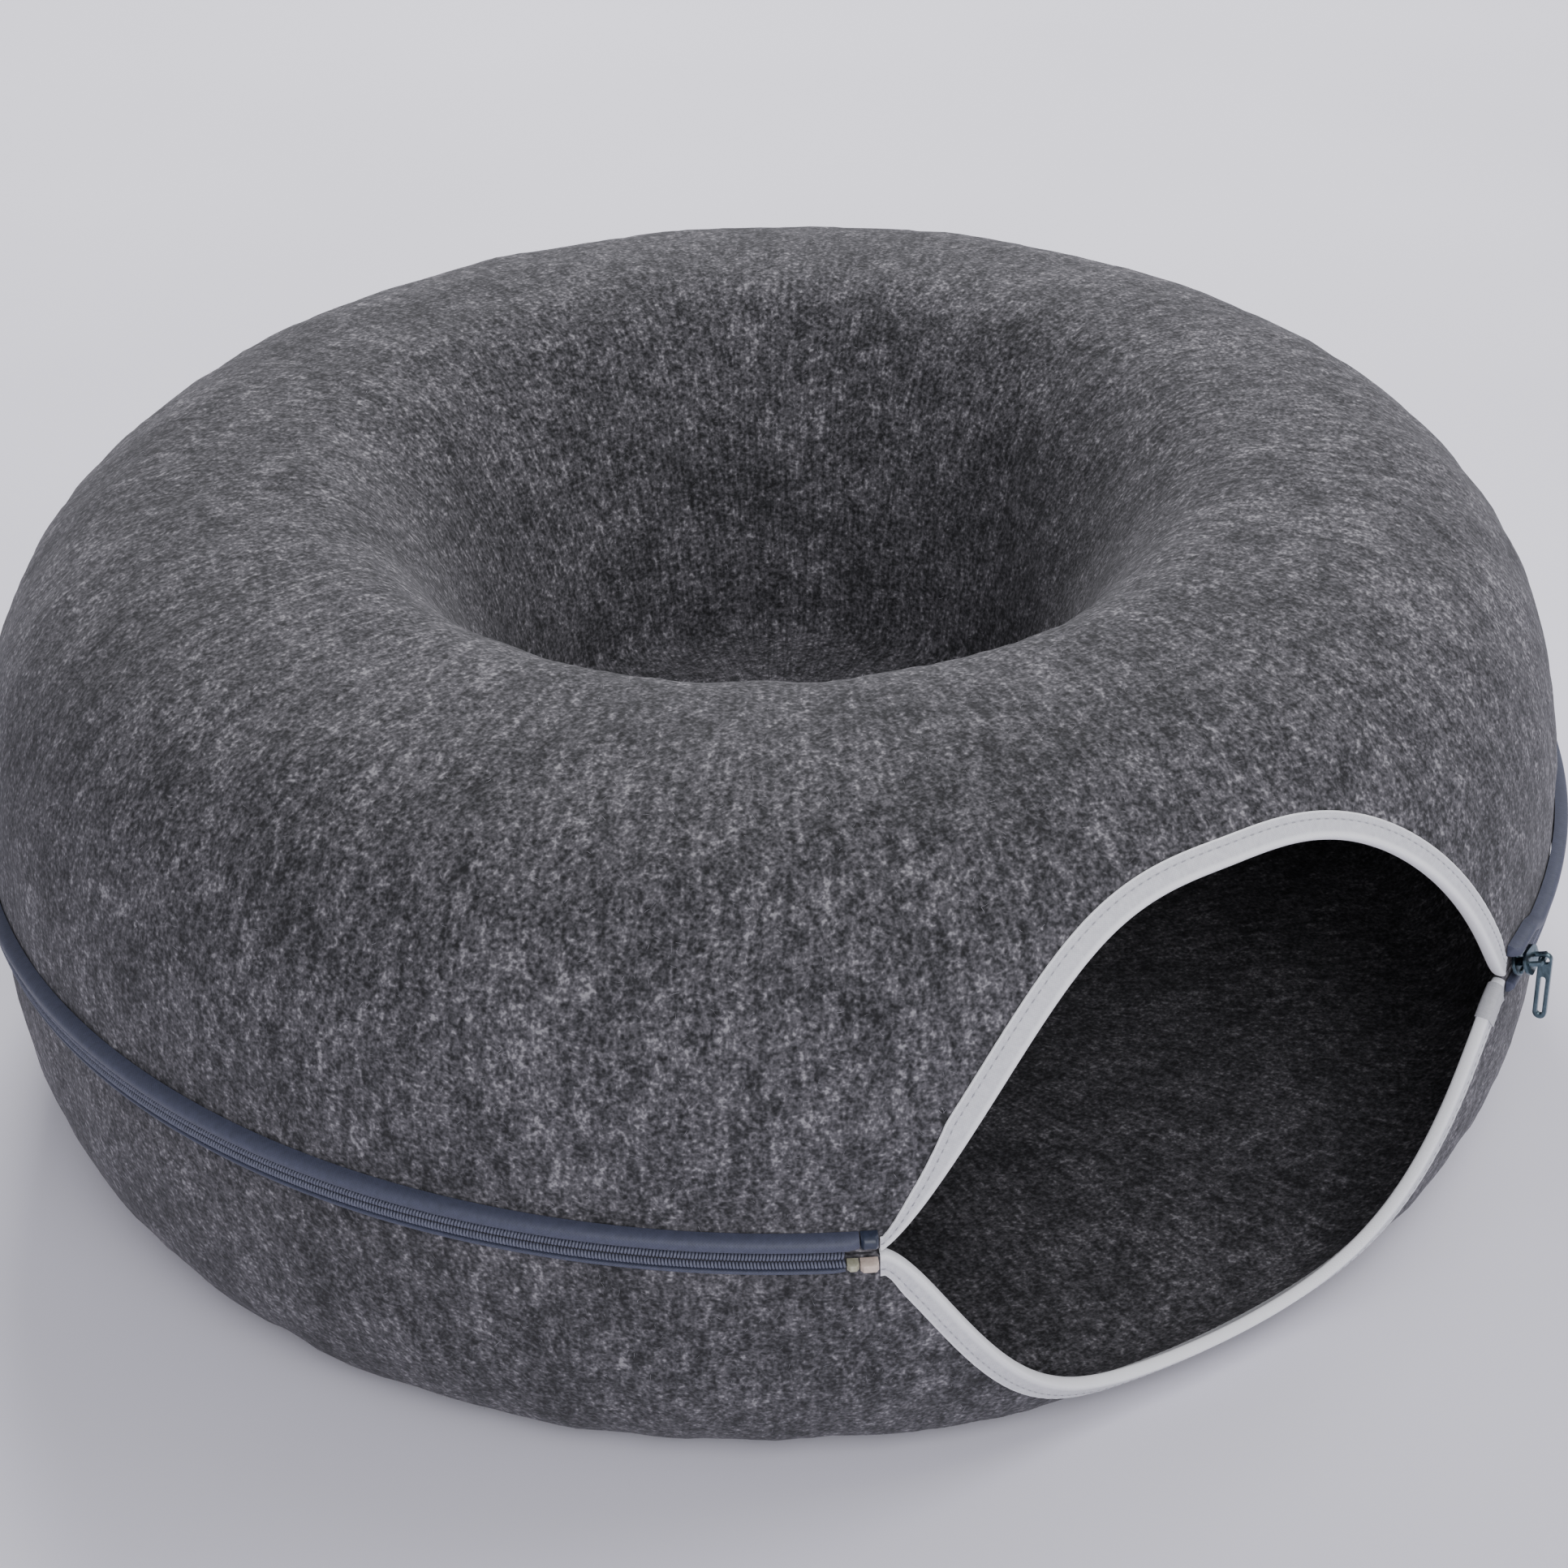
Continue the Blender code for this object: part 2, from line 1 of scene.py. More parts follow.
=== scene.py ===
"""The felt cat cave, dressed: what the photograph shows of its surfaces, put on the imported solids.

The cave is a hollow ring of moulded felt with a sunken middle. Each sub-assembly is a class whose
fields are its sizes in metres and whose methods build its meshes and give them their finish. All
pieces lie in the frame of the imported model: +Z up, the origin in the middle of the flat bottom, the
entrance towards -Y. Angles are measured round Z from +X. A place on a shell's outer face is given by
its angle and its run, the length along the face from the zip line, up the dome or down the bowl.
"""

import logging
import math
from dataclasses import dataclass, field
from enum import Enum
from functools import partial
from typing import Callable, Iterable, Sequence

import bmesh
import bpy
import numpy as np
from mathutils import Matrix, Vector


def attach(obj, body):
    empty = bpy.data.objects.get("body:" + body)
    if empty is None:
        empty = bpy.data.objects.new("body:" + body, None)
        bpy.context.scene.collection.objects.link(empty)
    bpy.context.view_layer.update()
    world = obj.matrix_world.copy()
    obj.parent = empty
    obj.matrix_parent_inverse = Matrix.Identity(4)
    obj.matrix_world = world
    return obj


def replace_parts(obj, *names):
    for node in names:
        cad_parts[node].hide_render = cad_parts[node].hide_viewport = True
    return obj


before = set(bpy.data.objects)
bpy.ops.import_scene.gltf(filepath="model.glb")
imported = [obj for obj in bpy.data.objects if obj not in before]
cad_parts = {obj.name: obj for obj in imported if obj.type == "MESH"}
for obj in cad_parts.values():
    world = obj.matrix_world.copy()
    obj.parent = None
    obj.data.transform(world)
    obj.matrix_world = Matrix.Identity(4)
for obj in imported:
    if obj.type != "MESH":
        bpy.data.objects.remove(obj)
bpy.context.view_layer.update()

LOG = logging.getLogger("cat_cave")
MM = 0.001
TURN = 2 * math.pi
SEED = 7206

Array = np.ndarray
Faces = list[tuple[int, ...]]
Solid = tuple[Array, Faces]
Outline = list[tuple[float, float]]
Place = tuple[float, float, float]
Material = bpy.types.Material
Thing = bpy.types.Object
Socket = bpy.types.NodeSocket
Add = Callable[..., Socket]


class Side(Enum):
    """The two felt shells, by the way their faces run from the zip line."""

    UPPER = 1
    LOWER = -1

    @property
    def word(self) -> str:
        """The shell's word in the names of pieces."""
        return self.name.lower()


# ---------------------------------------------------------------- meshes


def smoothstep(value: Array) -> Array:
    """Ease from 0 to 1."""
    held = np.clip(value, 0.0, 1.0)
    return held * held * (3 - 2 * held)


def unit(vectors: Array) -> Array:
    """The vectors at length 1."""
    return vectors / np.linalg.norm(vectors, axis=-1, keepdims=True)


def lengths_along(line: Array) -> Array:
    """How far along a line each of its points lies."""
    return np.concatenate([[0.0], np.cumsum(np.linalg.norm(np.diff(line, axis=0), axis=1))])


def new_object(name: str, data: bpy.types.ID) -> Thing:
    """Put an object with this data in the scene.

    Args:
        name: Its name.
        data: Its mesh, camera or light.

    Returns:
        The object.
    """
    thing = bpy.data.objects.new(name, data)
    bpy.context.scene.collection.objects.link(thing)
    return thing


def new_piece(
    name: str, solid: Solid, finish: Material, smooth: bool = True, sharp: float = 180.0
) -> Thing:
    """Put a mesh in the scene as a piece of the object.

    Args:
        name: Name of the piece.
        solid: Its points in metres and its faces.
        finish: Its material.
        smooth: Whether its faces are shaded smooth.
        sharp: Edges that turn by more than this many degrees stay crisp.

    Returns:
        The new object.
    """
    points, faces = solid
    mesh = bpy.data.meshes.new(name)
    mesh.from_pydata(np.asarray(points, float).tolist(), [], [tuple(face) for face in faces])
    mesh.validate()
    body = bmesh.new()
    body.from_mesh(mesh)
    bmesh.ops.recalc_face_normals(body, faces=body.faces)
    body.to_mesh(mesh)
    body.free()
    mesh.materials.append(finish)
    if smooth:
        mesh.shade_smooth()
        if sharp < 180:
            mesh.set_sharp_from_angle(angle=math.radians(sharp))
    thing = new_object(name, mesh)
    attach(thing, "root")
    LOG.info("%s: %d faces", name, len(mesh.polygons))
    return thing


def loft_faces(sections: int, size: int) -> Faces:
    """Faces between a row of like loops, with the two ends closed.

    Args:
        sections: How many loops there are.
        size: How many points each loop has.

    Returns:
        The faces as vertex numbers.
    """
    faces: Faces = []
    for k in range(sections - 1):
        here, ahead = k * size, (k + 1) * size
        for j in range(size):
            nearby = (j + 1) % size
            faces.append((here + j, here + nearby, ahead + nearby, ahead + j))
    faces.append(tuple(range(size))[::-1])
    faces.append(tuple(range((sections - 1) * size, sections * size)))
    return faces


def joined(parts: Iterable[Solid]) -> Solid:
    """Several meshes as one.

    Args:
        parts: Points and faces of each.

    Returns:
        Points and faces of them all.
    """
    points: list[Array] = []
    faces: Faces = []
    start = 0
    for some, these in parts:
        points.append(np.asarray(some, float))
        faces += [tuple(corner + start for corner in face) for face in these]
        start += len(some)
    return np.concatenate(points), faces


def rod(path: Array, radius: Array, sides: int) -> Solid:
    """A round rod along a path, with closed ends.

    Args:
        path: The points that it follows, one row each.
        radius: Its radius at each point.
        sides: How many sides it has.

    Returns:
        Its points and faces.
    """
    ahead = unit(np.gradient(path, axis=0))
    # The sides are set off from Z, or from X where the path is steep
    steep = abs(ahead[:, 2]).max() >= 0.9
    first = unit(np.cross(ahead, np.array([1.0, 0.0, 0.0]) if steep else np.array([0.0, 0.0, 1.0])))
    second = np.cross(ahead, first)
    turns = np.arange(sides) * TURN / sides
    ring = np.cos(turns)[None, :, None] * first[:, None] + np.sin(turns)[None, :, None] * second[:, None]
    points = path[:, None] + ring * radius[:, None, None]
    return points.reshape(-1, 3), loft_faces(len(path), sides)


def write_lay(piece: Thing, lay: Array, edge: Array | None = None) -> None:
    """Store the way along and across a band, in metres, for its weave.

    Args:
        piece: The band's object.
        lay: One row for each vertex: along, across and, on a folded band, away from the fold.
        edge: For each vertex, its distance from the nearest woven edge.
    """
    attribute = piece.data.attributes.new("lay", "FLOAT_VECTOR", "POINT")
    attribute.data.foreach_set("vector", np.asarray(lay, np.float32).ravel())
    if edge is not None:
        attribute = piece.data.attributes.new("edge", "FLOAT", "POINT")
        attribute.data.foreach_set("value", np.asarray(edge, np.float32).ravel())


# ---------------------------------------------------------------- materials


def linear(hex_colour: str) -> tuple[float, float, float, float]:
    """An sRGB hex colour, such as 8A8C92, as linear RGBA.

    Args:
        hex_colour: Six hex digits.

    Returns:
        The linear colour with full alpha.
    """
    values = [int(hex_colour[k : k + 2], 16) / 255 for k in (0, 2, 4)]
    red, green, blue = (v / 12.92 if v <= 0.04045 else ((v + 0.055) / 1.055) ** 2.4 for v in values)
    return red, green, blue, 1.0


def feed(node: bpy.types.Node, values: dict[int | str, object]) -> None:
    """Set a node's inputs, by number or name, to values, or link them to sockets.

    Args:
        node: The node.
        values: For each input, a value or the socket that feeds it.
    """
    for name, value in values.items():
        if isinstance(value, Socket):
            node.id_data.links.new(value, node.inputs[name])
        else:
            node.inputs[name].default_value = value


def add_node(
    tree: bpy.types.NodeTree,
    kind: str,
    *values: object,
    out: int | str = 0,
    stops: Sequence[tuple[float, str]] = (),
    **settings: object,
) -> Socket:
    """Add a node with its settings and links.

    Args:
        tree: The material's node tree.
        kind: Blender's name of the node's type, less its "ShaderNode".
        values: What feeds its inputs in their order, or one dict that names them.
        out: The output that is wanted.
        stops: A colour ramp's places from 0 to 1 and their sRGB hex colours.
        settings: The node's own properties.

    Returns:
        The socket of that output.
    """
    made = tree.nodes.new("ShaderNode" + kind)
    for name, value in settings.items():
        setattr(made, name, value)
    if stops:
        elements = made.color_ramp.elements
        while len(elements) < len(stops):
            elements.new(1.0)
        for element, (place, colour) in zip(elements, stops):
            element.position = place
            element.color = linear(colour)
    named = values and isinstance(values[0], dict)
    feed(made, values[0] if named else dict(enumerate(values)))
    return made.outputs[out]


@dataclass(frozen=True)
class Finish:
    """A procedural material."""

    name: str

    def inputs(self, add: Add) -> dict[int | str, object]:
        """Add the nodes with add_node, and say what each of the shader's inputs gets."""
        raise NotImplementedError

    def build(self) -> Material:
        """Make the material.

        Returns:
            The new material.
        """
        made = bpy.data.materials.new(self.name)
        made.use_nodes = True
        tree = made.node_tree
        feed(tree.nodes["Principled BSDF"], self.inputs(partial(add_node, tree)))
        return made


@dataclass(frozen=True)
class Felt(Finish):
    """Needle-punched polyester felt of charcoal and grey staple fibre, heat-moulded.

    The blend of dark and light fibre gives the eye a fine mottle of specks under 2 mm and short
    streaks, about 2.6 mm by 1.1 mm, that lie in patches of one direction, with tufts, blotches and
    clouds of tone above them. The mould stretches the fibre up and down the dome in faint lines.
    Fibres are some 0.02 mm thick, so specks and streaks are drawn as coarse as they need to show.
    """

    name: str = "felt_needle_punched_polyester"
    tones: tuple[tuple[float, str], ...] = (
        (0.18, "1C1C1E"),
        (0.36, "303033"),
        (0.52, "464549"),
        (0.68, "5D5B60"),
        (0.86, "89878C"),
    )
    streak_mm: tuple[float, float, float] = (2.6, 1.1, 1.1)
    patch_mm: float = 9.0
    # Directions of the streaks: the turn that brings X onto each
    turns: tuple[tuple[float, float, float], ...] = (
        (0.0, 0.0, 0.0),
        (0.0, -1.57, 0.35),
        (0.3, 0.75, 1.57),
        (0.2, -0.75, 0.85),
        (0.5, 0.25, -0.8),
    )
    # Values of the patch noise between which one direction gives way to another
    pair_blend: tuple[float, float] = (0.44, 0.56)
    both_blend: tuple[float, float] = (0.42, 0.58)
    last_blend: tuple[float, float] = (0.52, 0.60)
    streak_tone: tuple[float, float] = (0.60, 0.20)
    # Layers over the streaks: size in mm, detail, roughness and weight
    specks: tuple[float, float, float, float] = (1.6, 1.0, 0.6, 0.96)
    tufts: tuple[float, float, float, float] = (5.0, 1.0, 0.5, 0.50)
    blotches: tuple[float, float, float, float] = (30.0, 3.0, 0.55, 0.38)
    clouds: tuple[float, float, float, float] = (110.0, 1.0, 0.5, 0.18)
    comb_mm: float = 2.6
    comb_length_mm: float = 16.0
    comb_radius_mm: float = 220.0
    comb_weight: float = 0.44
    relief_mm: float = 0.55

    def streaks(self, add: Add, place: Socket, turn: Sequence[float]) -> Socket:
        """Noise drawn out along the direction that this turn gives.

        Args:
            add: Adds a node.
            place: Position in millimetres.
            turn: The rotation that sets the direction.

        Returns:
            The noise value.
        """
        drawn = {"Vector": place, "Rotation": turn, "Scale": self.streak_mm}
        turned = add("Mapping", drawn, vector_type="TEXTURE")
        noise = {"Vector": turned, "Scale": 1.0, "Detail": 1.0, "Roughness": 0.5, "Distortion": 0.1}
        return add("TexNoise", noise)

    def combed(self, add: Add, place: Socket) -> Socket:
        """Noise drawn out up and down the dome.

        Args:
            add: Adds a node.
            place: Position in millimetres.

        Returns:
            The noise value.
        """
        x, y, z = add("SeparateXYZ", place).node.outputs
        around = add("Math", x, add("Math", y, -1.0, operation="MULTIPLY"), operation="ARCTAN2")
        squares = [add("Math", part, part, operation="MULTIPLY") for part in (x, y)]
        radius = add("Math", add("Math", *squares, operation="ADD"), operation="SQRT")
        scales = (self.comb_radius_mm / self.comb_mm, 1 / self.comb_length_mm, 1 / self.comb_length_mm)
        parts = [add("Math", part, s, operation="MULTIPLY") for part, s in zip((around, radius, z), scales)]
        drawn = add("CombineXYZ", *parts)
        return add("TexNoise", {"Vector": drawn, "Scale": 1.0, "Detail": 1.0, "Distortion": 0.3})

    def woven(self, add: Add, place: Socket) -> Socket:
        """Streaks whose direction changes from patch to patch.

        Args:
            add: Adds a node.
            place: Position in millimetres.

        Returns:
            The noise value.
        """
        noise = {"Vector": place, "Scale": 1 / self.patch_mm, "Detail": 1.0, "Roughness": 0.5}
        red, green, blue = add("SeparateColor", add("TexNoise", noise, out="Color")).node.outputs
        layers = [self.streaks(add, place, turn) for turn in self.turns]

        def choose(share: Socket, first: Socket, second: Socket, blend: tuple[float, float]) -> Socket:
            """Go from the first to the second while the share passes through the blend's range."""
            return add("Mix", {0: add("MapRange", share, *blend), 2: first, 3: second})

        first = choose(red, layers[0], layers[1], self.pair_blend)
        second = choose(green, layers[2], layers[3], self.pair_blend)
        halves = [add("Math", part, 0.5, operation="MULTIPLY") for part in (red, blue)]
        both = choose(blue, first, second, self.both_blend)
        return choose(add("Math", *halves, operation="ADD"), both, layers[4], self.last_blend)

    def inputs(self, add: Add) -> dict[int | str, object]:
        """Sum the layers into one tone, and lift the finest of them as relief.

        Args:
            add: Adds a node.

        Returns:
            What each of the shader's inputs gets.
        """
        place = add("VectorMath", {0: add("TexCoord", out="Object"), "Scale": 1 / MM}, operation="SCALE")
        tone = add("Math", self.woven(add, place), *self.streak_tone, operation="MULTIPLY_ADD")
        layers = []
        for size, detail, roughness, weight in (self.specks, self.tufts, self.blotches, self.clouds):
            noise = {"Vector": place, "Scale": 1 / size, "Detail": detail, "Roughness": roughness}
            layers.append((add("TexNoise", noise), weight))
        specks = layers[0][0]
        layers.insert(1, (self.combed(add, place), self.comb_weight))
        for layer, weight in layers:
            centred = add("Math", layer, weight, -weight / 2, operation="MULTIPLY_ADD")
            tone = add("Math", tone, centred, operation="ADD")
        tone = add("Math", add("Math", tone, 1.0, operation="MINIMUM"), 0.0, operation="MAXIMUM")
        relief = {"Strength": 0.6, "Distance": self.relief_mm * MM, "Height": specks}
        return {
            "Base Color": add("ValToRGB", tone, stops=self.tones),
            "Normal": add("Bump", relief),
            "Roughness": 0.93,
            "IOR": 1.5,
            "Specular IOR Level": 0.25,
            "Sheen Weight": 0.12,
            "Sheen Roughness": 0.6,
            "Sheen Tint": linear("C8C6CE"),
        }


@dataclass(frozen=True)
class Woven(Finish):
    """A narrow woven band of polyester yarn, such as ribbon or zip tape.

    Its weft crosses the band in fine ribs that show as a faint grain, and its yarn gives it a soft
    sheen. The ribs are read from the "lay" attribute: metres along the band and across it. A ribbon
    also has a painted highlight on its fold, the same lighter colour on its woven edge, and painted
    shade in its stitched groove.
    """

    light: str
    dark: str
    rib_mm: float
    wear_mm: float = 1 / 0.42
    roughness: float = 0.62
    relief_mm: float = 0.12
    sheen: float = 0.2
    contrast: float = 0.35
    # Colours of the fold's painted highlight, also laid on the woven edge, and of the groove's painted shade
    fold: str | None = None
    groove: str | None = None
    # The weave's share in the contrast, and how far the yarn's slubs are drawn out across the band
    weave_share: float = 0.22
    slub_stretch: float = 0.3
    groove_at_mm: float = 2.8
    # Where a band of colour begins to fade, where it ends, both in mm, and how strong it is: painted
    # shade in the groove, painted highlight on the fold, the fold's lighter colour on the woven edge
    groove_shade_band: tuple[float, float, float] = (0.1, 0.55, 0.4)
    fold_highlight_band: tuple[float, float, float] = (3.4, 4.6, 0.85)
    edge_band: tuple[float, float, float] = (0.5, 0.9, 0.85)

    def edging(self, add: Add, fold_lay: Socket, colour: Socket) -> Socket:
        """Paint a highlight on the fold, lighten the woven edge, and paint shade in the stitched groove.

        Args:
            add: Adds a node.
            fold_lay: Distance from the fold in metres.
            colour: The band's own colour.

        Returns:
            The colour with its edging.
        """
        edge = add("Attribute", attribute_name="edge", out="Fac")
        from_edge = add("Math", edge, 1 / MM, operation="MULTIPLY")
        from_fold = add("Math", fold_lay, 1 / MM, operation="MULTIPLY")
        off = add("Math", from_edge, self.groove_at_mm, operation="SUBTRACT")
        off_groove = add("Math", off, operation="ABSOLUTE")
        bands = ((off_groove, self.groove_shade_band), (from_fold, self.fold_highlight_band), (from_edge, self.edge_band))
        groove_shade, fold_highlight, on_edge = (add("MapRange", value, *band, 0.0) for value, band in bands)
        bright = add("Math", fold_highlight, on_edge, operation="MAXIMUM")
        for share, tint in ((bright, self.fold), (groove_shade, self.groove)):
            colour = add("Mix", {0: share, 6: colour, 7: linear(tint)}, data_type="RGBA", out=2)
        return colour

    def inputs(self, add: Add) -> dict[int | str, object]:
        """Draw the ribs, the slubs of the yarn and its wear.

        Args:
            add: Adds a node.

        Returns:
            What each of the shader's inputs gets.
        """
        lay = add("Attribute", attribute_name="lay", out="Vector")
        along, across, fold_lay = add("SeparateXYZ", lay).node.outputs
        along_mm, across_mm = (add("Math", part, 1 / MM, operation="MULTIPLY") for part in (along, across))
        # Alternate ribs are shifted by half a thread, as in a plain weave
        turn = TURN / self.rib_mm
        waves = [add("Math", part, turn, operation="MULTIPLY") for part in (along_mm, across_mm)]
        weave = add("Math", *(add("Math", wave, operation="SINE") for wave in waves), operation="MULTIPLY")
        yarn = add(
            "CombineXYZ",
            add("Math", along_mm, 1 / self.rib_mm, operation="MULTIPLY"),
            add("Math", across_mm, self.slub_stretch / self.rib_mm, operation="MULTIPLY"),
            0.0,
        )
        slub = add("TexNoise", {"Vector": yarn, "Scale": 1.0, "Detail": 2.0, "Roughness": 0.7})
        place = add("TexCoord", out="Object")
        scale = 1 / (self.wear_mm * MM)
        wear = add("TexNoise", {"Vector": place, "Scale": scale, "Detail": 2.0, "Roughness": 0.6})
        tone = add("Math", weave, self.weave_share * self.contrast, 0.5, operation="MULTIPLY_ADD")
        for noise, clamp in ((slub, False), (wear, True)):
            centred = add("Math", noise, self.contrast, -0.5 * self.contrast, operation="MULTIPLY_ADD")
            tone = add("Math", tone, centred, operation="ADD", use_clamp=clamp)
        colour = add("ValToRGB", tone, stops=((0.25, self.dark), (0.75, self.light)))
        if self.fold and self.groove:
            colour = self.edging(add, fold_lay, colour)
        height = add("Math", add("Math", weave, 0.5, operation="MULTIPLY"), slub, operation="ADD")
        return {
            "Base Color": colour,
            "Normal": add("Bump", {"Strength": 0.5, "Distance": self.relief_mm * MM, "Height": height}),
            "Roughness": self.roughness,
            "IOR": 1.5,
            "Sheen Weight": self.sheen,
            "Sheen Roughness": 0.4,
        }


@dataclass(frozen=True)
class Grained(Finish):
    """A finish whose colour varies with one noise, and with it the gloss and relief that it has."""

    colour: str
    shade: str
    roughness: float
    grain_mm: float
    detail: float
    detail_roughness: float = 0.5
    # How far from the noise's middle value the colours are pure
    pure_from: float = 0.15
    # The least and the most that the noise adds to the roughness
    spread: tuple[float, float] | None = None
    relief_mm: float = 0.0
    metallic: float = 0.0
    ior: float = 1.5

    def inputs(self, add: Add) -> dict[int | str, object]:
        """Vary colour, gloss and relief by the noise.

        Args:
            add: Adds a node.

        Returns:
            What each of the shader's inputs gets.
        """
        noise = {"Vector": add("TexCoord", out="Object"), "Scale": 1 / (self.grain_mm * MM)}
        noise |= {"Detail": self.detail, "Roughness": self.detail_roughness}
        grain = add("TexNoise", noise)
        stops = ((0.5 - self.pure_from, self.shade), (0.5 + self.pure_from, self.colour))
        given = {
            "Base Color": add("ValToRGB", grain, stops=stops),
            "Roughness": self.roughness,
            "Metallic": self.metallic,
            "IOR": self.ior,
        }
        if self.spread:
            least, most = (self.roughness + part for part in self.spread)
            given["Roughness"] = add("MapRange", {0: grain, 3: least, 4: most})
        if self.relief_mm:
            relief = {"Strength": 0.25, "Distance": self.relief_mm * MM, "Height": grain}
            given["Normal"] = add("Bump", relief)
        return given


@dataclass(frozen=True)
class Moulded(Grained):
    """Injection-moulded plastic, such as the nylon coil or the acetal box and pin of a zip.

    The mould leaves a satin skin with a very fine unevenness, so highlights are broad and soft.
    """

    roughness: float = 0.42
    grain_mm: float = 1.2
    detail: float = 3.0
    detail_roughness: float = 0.6
    pure_from: float = 0.2
    spread: tuple[float, float] | None = (-0.06, 0.08)
    relief_mm: float = 0.05
    ior: float = 1.48


@dataclass(frozen=True)
class Plated(Grained):
    """Die-cast zinc, tumbled and plated in dark gunmetal nickel.

    The plating reflects the studio in soft, slightly blue-green patches of uneven gloss.
    """

    name: str = "zinc_die_cast_gunmetal_plated"
    colour: str = "64757D"
    shade: str = "52626A"
    roughness: float = 0.3
    grain_mm: float = 1 / 0.7
    detail: float = 4.0
    detail_roughness: float = 0.6
    spread: tuple[float, float] | None = (-0.07, 0.1)
    metallic: float = 1.0


@dataclass(frozen=True)
class Fibre(Grained):
    """Loose polyester staple fibre, lighter than the felt that it stands off.

    Its colour varies from fibre to fibre, as the blend does, so the bloom on the felt looks uneven.
    """

    name: str = "fibre_loose_polyester"
    colour: str = "8E8C94"
    shade: str = "4A484E"
    roughness: float = 0.7
    grain_mm: float = 1 / 0.26
    detail: float = 1.0


@dataclass(frozen=True)
class Painted(Grained):
    """Board with rolled matt paint, which gives the floor a barely uneven pale tone."""

    name: str = "floor_matt_painted_board"
    colour: str = "EAE8F4"
    shade: str = "E4E2EE"
    roughness: float = 0.7
    grain_mm: float = 1000 / 3
    detail: float = 2.0
    pure_from: float = 0.2


# ---------------------------------------------------------------- form


@dataclass
class CaveForm:
    """The outer faces of the two felt shells and the outline of the entrance."""

    outer_radius: float = 0.300
    height: float = 0.242
    zip_height: float = 0.108
    zip_wave: float = 0.004
    zip_wave_angle: float = math.radians(10)
    felt: float = 0.0038
    parting: float = 0.0008
    crown_radius: float = 0.180
    dome_power: float = 2.54
    well_radius: float = 0.0936
    well_taper: float = 0.222
    well_power: float = 2.11
    well_floor: float = 0.110
    well_corner: float = 0.014
    well_dish: float = 0.002
    base_radius: float = 0.249
    base_power: float = 2.785
    entrance_angle: float = math.radians(-89.7)
    entrance_half: float = math.radians(26.75)
    upper_rise: float = 0.1077
    upper_fullness: float = 2.83
    upper_flare: float = 1.41
    lower_drop: float = 0.0907
    lower_fullness: float = 3.43
    lower_flare: float = 1.88
    lower_skew: float = 0.066
    corner_gap: float = 0.0006
    corner_slack: float = 1e-6
    lean_over: float = 0.015
    ribbon: float = 0.0008
    ribbon_gap: float = 0.00055
    upper_leg_left: float = 0.0096
    upper_leg_right: float = 0.0076
    narrow: float = 0.5
    narrow_over: float = 0.030
    lower_leg: float = 0.0078
    squeeze: float = 0.0012
    squeeze_over: float = 0.0100
    # How finely the faces are tabulated and their slopes are measured
    run_step: float = 0.0004
    zip_heights: int = 9
    section_points: int = 241
    same_point: float = 1e-9
    slope_step: float = 0.0015
    slope_turn: float = math.radians(0.3)
    lean_turn: float = math.radians(0.2)
    column_gap: float = math.radians(0.5)
    crowding: float = 0.25
    tables: dict = field(init=False, default_factory=dict)
    ends: dict = field(init=False, default_factory=dict)

    def __post_init__(self) -> None:
        """Tabulate both shells' sections for the zip heights that occur."""
        self.bases = self.zip_height + self.zip_wave * np.linspace(-1, 1, self.zip_heights)
        for side in Side:
            rows = [self.section(side, base) for base in self.bases]
            longest = max(float(runs[-1]) for runs, _, _ in rows)
            grid = np.arange(0, longest + self.run_step, self.run_step)
            radius = np.array([np.interp(grid, runs, points[:, 0]) for runs, points, _ in rows])
            height = np.array([np.interp(grid, runs, points[:, 1]) for runs, points, _ in rows])
            self.tables[side] = (grid, radius, height)
            self.ends[side] = np.array([ends for _, _, ends in rows])

    def quadrant(self, power: float, end: float = 1.0) -> tuple[Array, Array]:
        """Cosine and sine of a superellipse's quadrant up to a share of it."""
        turn = math.pi / 2 * end * np.linspace(0, 1, self.section_points)
        return np.clip(np.cos(turn), 0, None) ** (2 / power), np.sin(turn) ** (2 / power)

    def upper_parts(self, base: float) -> list[Array]:
        """Radii and heights of the dome, the well's wall, its corner and its floor.

        Args:
            base: Height of the zip line.

        Returns:
            For each part, its points in their order from the zip line on.
        """
        crown, corner = self.crown_radius, self.well_corner
        samples = np.linspace(0, 1, self.section_points)
        c, s = self.quadrant(self.dome_power)
        dome = (crown + (self.outer_radius - crown) * c, base + (self.height - base) * s)
        across = 1 - (self.height - self.well_floor - corner) / self.well_taper
        c, s = self.quadrant(self.well_power, math.acos(across ** (self.well_power / 2)) / (math.pi / 2))
        wall = (crown - (crown - self.well_radius) * s, self.height - self.well_taper * (1 - c))
        bend = (wall[0][-1] - corner * samples**2, self.well_floor + corner * (1 - samples) ** 2)
        dish = self.well_dish * np.sin(math.pi / 2 * samples) ** 2
        floor = (bend[0][-1] * (1 - samples), self.well_floor - dish)
        return [np.stack(part, 1) for part in (dome, wall, bend, floor)]

    def lower_parts(self, base: float) -> list[Array]:
        """Radii and heights of the bowl and the flat bottom.

        Args:
            base: Height of the zip line.

        Returns:
            For each part, its points in their order from the zip line on.
        """
        samples = np.linspace(0, 1, self.section_points)
        c, s = self.quadrant(self.base_power)
        bowl = (self.base_radius + (self.outer_radius - self.base_radius) * c, base * (1 - s))
        bottom = (self.base_radius * (1 - samples), np.zeros_like(samples))
        return [np.stack(part, 1) for part in (bowl, bottom)]

